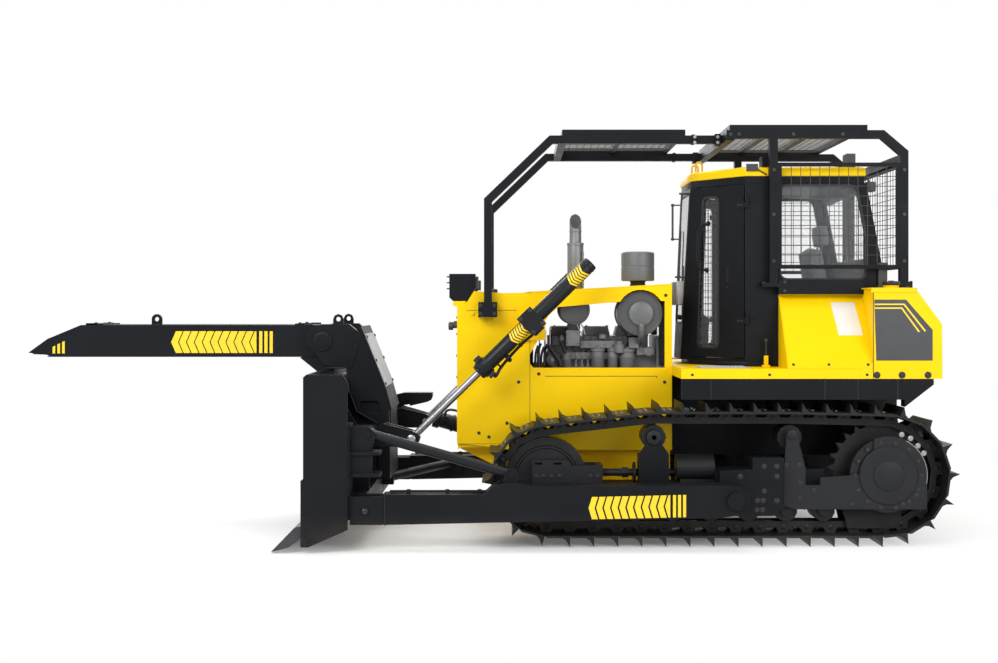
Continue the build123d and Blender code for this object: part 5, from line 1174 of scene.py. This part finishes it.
def make_cab_outside(side):
    box(1440, 1500, 205, 130, 1905, 2112)
    piece(f"screen_box_{side}", LIGHT_GREY, bevel=6)
    box(1512, 1900, 810, 1110, 1400, 1408)
    for place in every(range(1530, 1872, 31), range(828, 1095, 38), 1408):
        lathe(place, UP, [(0, 7), (3, 5), (3, 0)], 6)
    piece(f"step_plate_{side}", LIGHT_GREY)
    tube([(2082, 840, 1480), (2082, 840, 1612)], 8, 12)
    lathe((2082, 840, 1600), UP, [(0, 0), (4, 14), (16, 18), (28, 14), (32, 0)], 16)
    piece(f"latch_rod_{side}", DARK_BOLT)
    box(2066, 2098, 824, 856, 1400, 1492)
    box(2052, 2112, 814, 866, 1400, 1416)
    piece(f"latch_base_{side}", YELLOW, bevel=2)
    arch = [(1640 + 28 * math.cos(t), 120, 3112 + 30 * math.sin(t))
            for t in (math.pi * k / 10 for k in range(11))]
    tube([(1668, 120, 3030), *arch, (1612, 120, 3030)], 9, 10)
    box(1595, 1685, 90, 150, 3030, 3040)
    piece(f"roof_eyes_{side}", YELLOW)
    box(2930, 3004, 630, 740, 2838, 2916)
    tube([(2960, 690, 2916), (2950, 690, 2950), (2905, 690, 2956)], 9, 10)
    box(2770, 2842, 580, 720, 3030, 3150)
    box(3004, 3078, 750, 810, 2031, 2250)
    box(1930, 2024, 720, 806, 2998, 3056)
    tube([(2024, 788, 3010), (2060, 790, 2990), (2100, 786, 2966)], 7, 8, smooth=2)
    piece(f"work_lamps_{side}", PLASTIC, bevel=5)
    box(3004, 3008, 640, 730, 2850, 2904)
    box(1926, 1930, 728, 798, 3006, 3048)
    piece(f"work_lenses_{side}", LENS)
    bolts(every((2064, 2126, 2190), (816, 846), 2085), UP, 11)
    bolts(every(2230, GUARD_Y, (2018, 2090)), OUT, 9)
    bolts(every((3152, 3248), (786, 880), 2091), UP, 11)
    bolts(every((2141, 3200), GUARD_Y, (2260, 2640, 3000)), OUT, 10)
    bolts(every((1790, 1860, 2300, 2700), GUARD_Y, 3290), OUT, 10)
    piece(f"cage_bolts_{side}", DARK_BOLT)
    box(1690, 1740, 600, 690, 3218, 3316)
    box(1500, 1530, 596, 682, 3234, 3312)
    piece(f"sweep_clamps_{side}", BLACK, bevel=3)
    bolts(every((1714, 1524), 690, (3244, 3290)), OUT, 9)
    piece(f"clamp_bolts_{side}", ZINC)
    prism([(3118, 1097), (3347, 1275), (3347, 1318), (3118, 1318)], 1151, 1040)
    piece(f"skirt_tail_{side}", BLACK, bevel=2)


def make_deck_details(side):
    bolts(every((1440, 2050, 2820), SKIRT_Y, 1352), OUT, 8)
    bolts(every((2897, 3095, 3300), SKIRT_Y, 1350), OUT, 19)
    bolts(every((2240, 2520, 2830), 1142, 1432), (0, 1, 0.4), 8)
    bolts(every((2920, 3150), 1120, 2045), UP, 12)
    piece(f"deck_bolts_{side}", DARK_BOLT)
    # thin dark strips along the skirt's seams: painted shade of the gaps between its plates
    for x in (1585, 2485, 2745, 3060):
        box(x, x + 5, SKIRT_Y, SKIRT_Y + 1.2, 1158, 1318)
    box(2866, 2872, SKIRT_Y, SKIRT_Y + 1.2, 1322, 2028)
    piece(f"skirt_seam_shade_{side}", SEAL_AND_SEAM_SHADE, smooth=0)
    box(2850, 3206, 610, 1158, 2031, 2040)
    box(2850, 3206, 1148, 1158, 2002, 2034)
    prism([(3204, 2040), (3204, 2031), (3213, 2027), (3219, 2034)], 610, 1158)
    piece(f"tank_lid_{side}", YELLOW, bevel=3)
    lathe((3041, 1040, 2061), UP, [(0, 0), (0, 66), (6, 70), (22, 70), (28, 62), (28, 0)], 36)
    box(3020, 3062, 1030, 1050, 2086, 2098)
    piece(f"filler_cap_{side}", DARK_BOLT, bevel=1)
    for x in (2196, 2868):
        tube([(x, 1147, 1424), (x, 788, 1988)], 4, 8)
    tube([(2198, 786, 1992), (2866, 786, 1992)], 5, 8)
    piece(f"console_trim_{side}", YELLOW)


for side in sides():
    make_door(side)
    make_cab_outside(side)
    make_deck_details(side)

for x in (1900, 2160, 2420, 2680):
    box(x, x + 30, -720, 720, 3030, 3040)
piece("roof_ribs", YELLOW, bevel=2)
for (ya, za), (yb, zb) in zip(REAR_PANE, REAR_PANE[1:] + REAR_PANE[:1]):
    tube([(rear_x(za) + 3, ya, za), (rear_x(zb) + 3, yb, zb)], 11, 8)
piece("rear_seal", SEAL_AND_SEAM_SHADE)

# ---------------------------------------------------------------- seat and controls


def cushion(name, centre, size, tilt=0.0, crown=0.18, cells=12):
    """A crowned closed pad: its faces swell, its sides pull in between the corners."""
    bm = Work.mesh
    bmesh.ops.create_cube(bm, size=2.0)
    bmesh.ops.subdivide_edges(bm, edges=bm.edges, cuts=cells, use_grid_fill=True)
    turn = Matrix.Rotation(math.radians(tilt), 3, "Y")
    half = Vector(size) / 2000
    for v in bm.verts:
        x, y, _ = v.co
        soft = v.co.lerp(v.co.normalized() * 1.22, 0.34)
        swell = (1 - x * x) * (1 - y * y)
        pull = 1 - 0.05 * (1 - x * x) - 0.05 * (1 - y * y)
        p = Vector((soft.x * half.x * pull, soft.y * half.y * pull, soft.z * half.z * (0.82 + crown * swell)))
        v.co = at(*centre) + turn @ p
    o = piece(name, FABRIC, smooth=80)
    return o


def piping(name, centre, size, tilt):
    """The welt round a cushion's edge."""
    turn = Matrix.Rotation(math.radians(tilt), 3, "Y")
    points = []
    for t in turns(48):
        x, y = (math.copysign(abs(k) ** 0.35, k) * wide / 2 * 0.95
                for k, wide in zip((math.cos(t), math.sin(t)), size))
        points.append(Vector(centre) + turn @ Vector((x, y, size[2] * 0.1)))
    tube(points + points[:1], 5, 6)
    piece(name, SEAL_AND_SEAM_SHADE)


SEAT = ((2390, 0, 1772), (480, 490, 135), 4)
SEAT_BACK = ((2672, 0, 2100), (600, 460, 150), 81)
base = cushion("seat_cushion", *SEAT)
piping("seat_welt", *SEAT)
cushion("seat_back", *SEAT_BACK, crown=0.22)
piping("back_welt", *SEAT_BACK)
cushion("headrest", (2722, 0, 2505), (185, 240, 115), tilt=84, crown=0.25)
for side in sides():
    cushion(f"armrest_{side}", (2460, 290, 1950), (350, 78, 60), crown=0.1, cells=8)
box(2270, 2550, -165, 165, 1440, 1470)
for i in range(7):
    box(2285 + i * 2, 2535 - i * 2, -150, 150, 1474 + i * 30, 1492 + i * 30)
box(2250, 2600, -190, 190, 1684, 1704)
for _ in sides():
    tube([(2600, 290, 1710), (2610, 290, 1900), (2560, 290, 1925)], 14, 10, smooth=2)
    tube([(2600, 200, 1700), (2600, 290, 1712)], 14, 10)
    tube([(2700, 60, 2350), (2716, 60, 2440)], 7, 10)
piece("seat_frame", PLASTIC, bevel=2)
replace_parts(base, "seat")

# a narrow dash under the windscreen, two lever stands, the levers, pedals and gauges
prism([(1520, 1440), (1545, 1800), (1590, 1850), (1720, 1790), (1690, 1440)], -215, 215)
prism([(1600, 1846), (1610, 1880), (1650, 1862), (1700, 1800)], -150, 150)
for _ in sides():
    box(1900, 2010, 330, 420, 1440, 1640)
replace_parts(piece("cab_controls", PLASTIC, bevel=8), "controls")
for x, y, lean in ((1925, -375, -30), (1975, -375, 10), (1950, 375, -20)):
    tube([(x, y, 1630), (x + lean, y, 1800), (x + lean * 2, y, 1930)], 9, 12, smooth=2)
    lathe((x + lean * 2, y, 1915), UP, [(0, 0), (6, 17), (20, 23), (44, 21), (58, 12), (62, 0)], 20)
for y in (-110, 0, 110):
    prism([(1700, 1560), (1790, 1500), (1796, 1510), (1706, 1572)], y - 38, y + 38)
for k in range(4):
    lathe((1662 + 4 * k, -90 + 60 * k, 1846 - 6 * k), (0.6, 0, 0.8),
          [(0, 0), (0, 24), (6, 24), (9, 20), (5, 18), (5, 0)], 24)
piece("cab_levers", DARK_BOLT, bevel=1)

# ---------------------------------------------------------------- rear and engine bay trim

REAR_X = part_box("rear_body")[1].x * 1000 - SHIFT

box(REAR_X, REAR_X + 6, -430, 430, 1392, 1748)
for _ in sides():
    box(REAR_X, REAR_X + 12, 270, 390, 1740, 1764)
piece("rear_hatch", YELLOW, bevel=3)
for _ in sides():
    for z in range(1440, 1645, 34):
        prism([(REAR_X + 6, z), (REAR_X + 18, z + 3), (REAR_X + 18, z + 7), (REAR_X + 6, z + 19)], 30, 390)
    bolts(every(REAR_X + 6, (140, 400), (1410, 1722)), BACK, 9)
piece("rear_louvres", BARREL, bevel=1)
for _ in sides():
    box(REAR_X, REAR_X + 44, 472, 568, 1640, 1724)
    tube([(REAR_X + out, 520, z) for out, z in ((0, 1440), (52, 1446), (52, 1588), (0, 1594))],
         9, 12, smooth=1)
piece("rear_fittings", DARK_BOLT, bevel=4)
for _ in sides():
    for y in (497, 543):
        lathe((REAR_X + 43, y, 1682), BACK, [(0, 0), (0, 20), (5, 20), (10, 13), (12, 0)], 24)
piece("rear_lenses", LENS)
for _ in sides():
    box(1270, 1318, 330, 285, 1392, 1958)
    bolts(every(1294, 330, (1480, 1660, 1840)), OUT, 10)
piece("firewall_posts", BARREL, bevel=3)
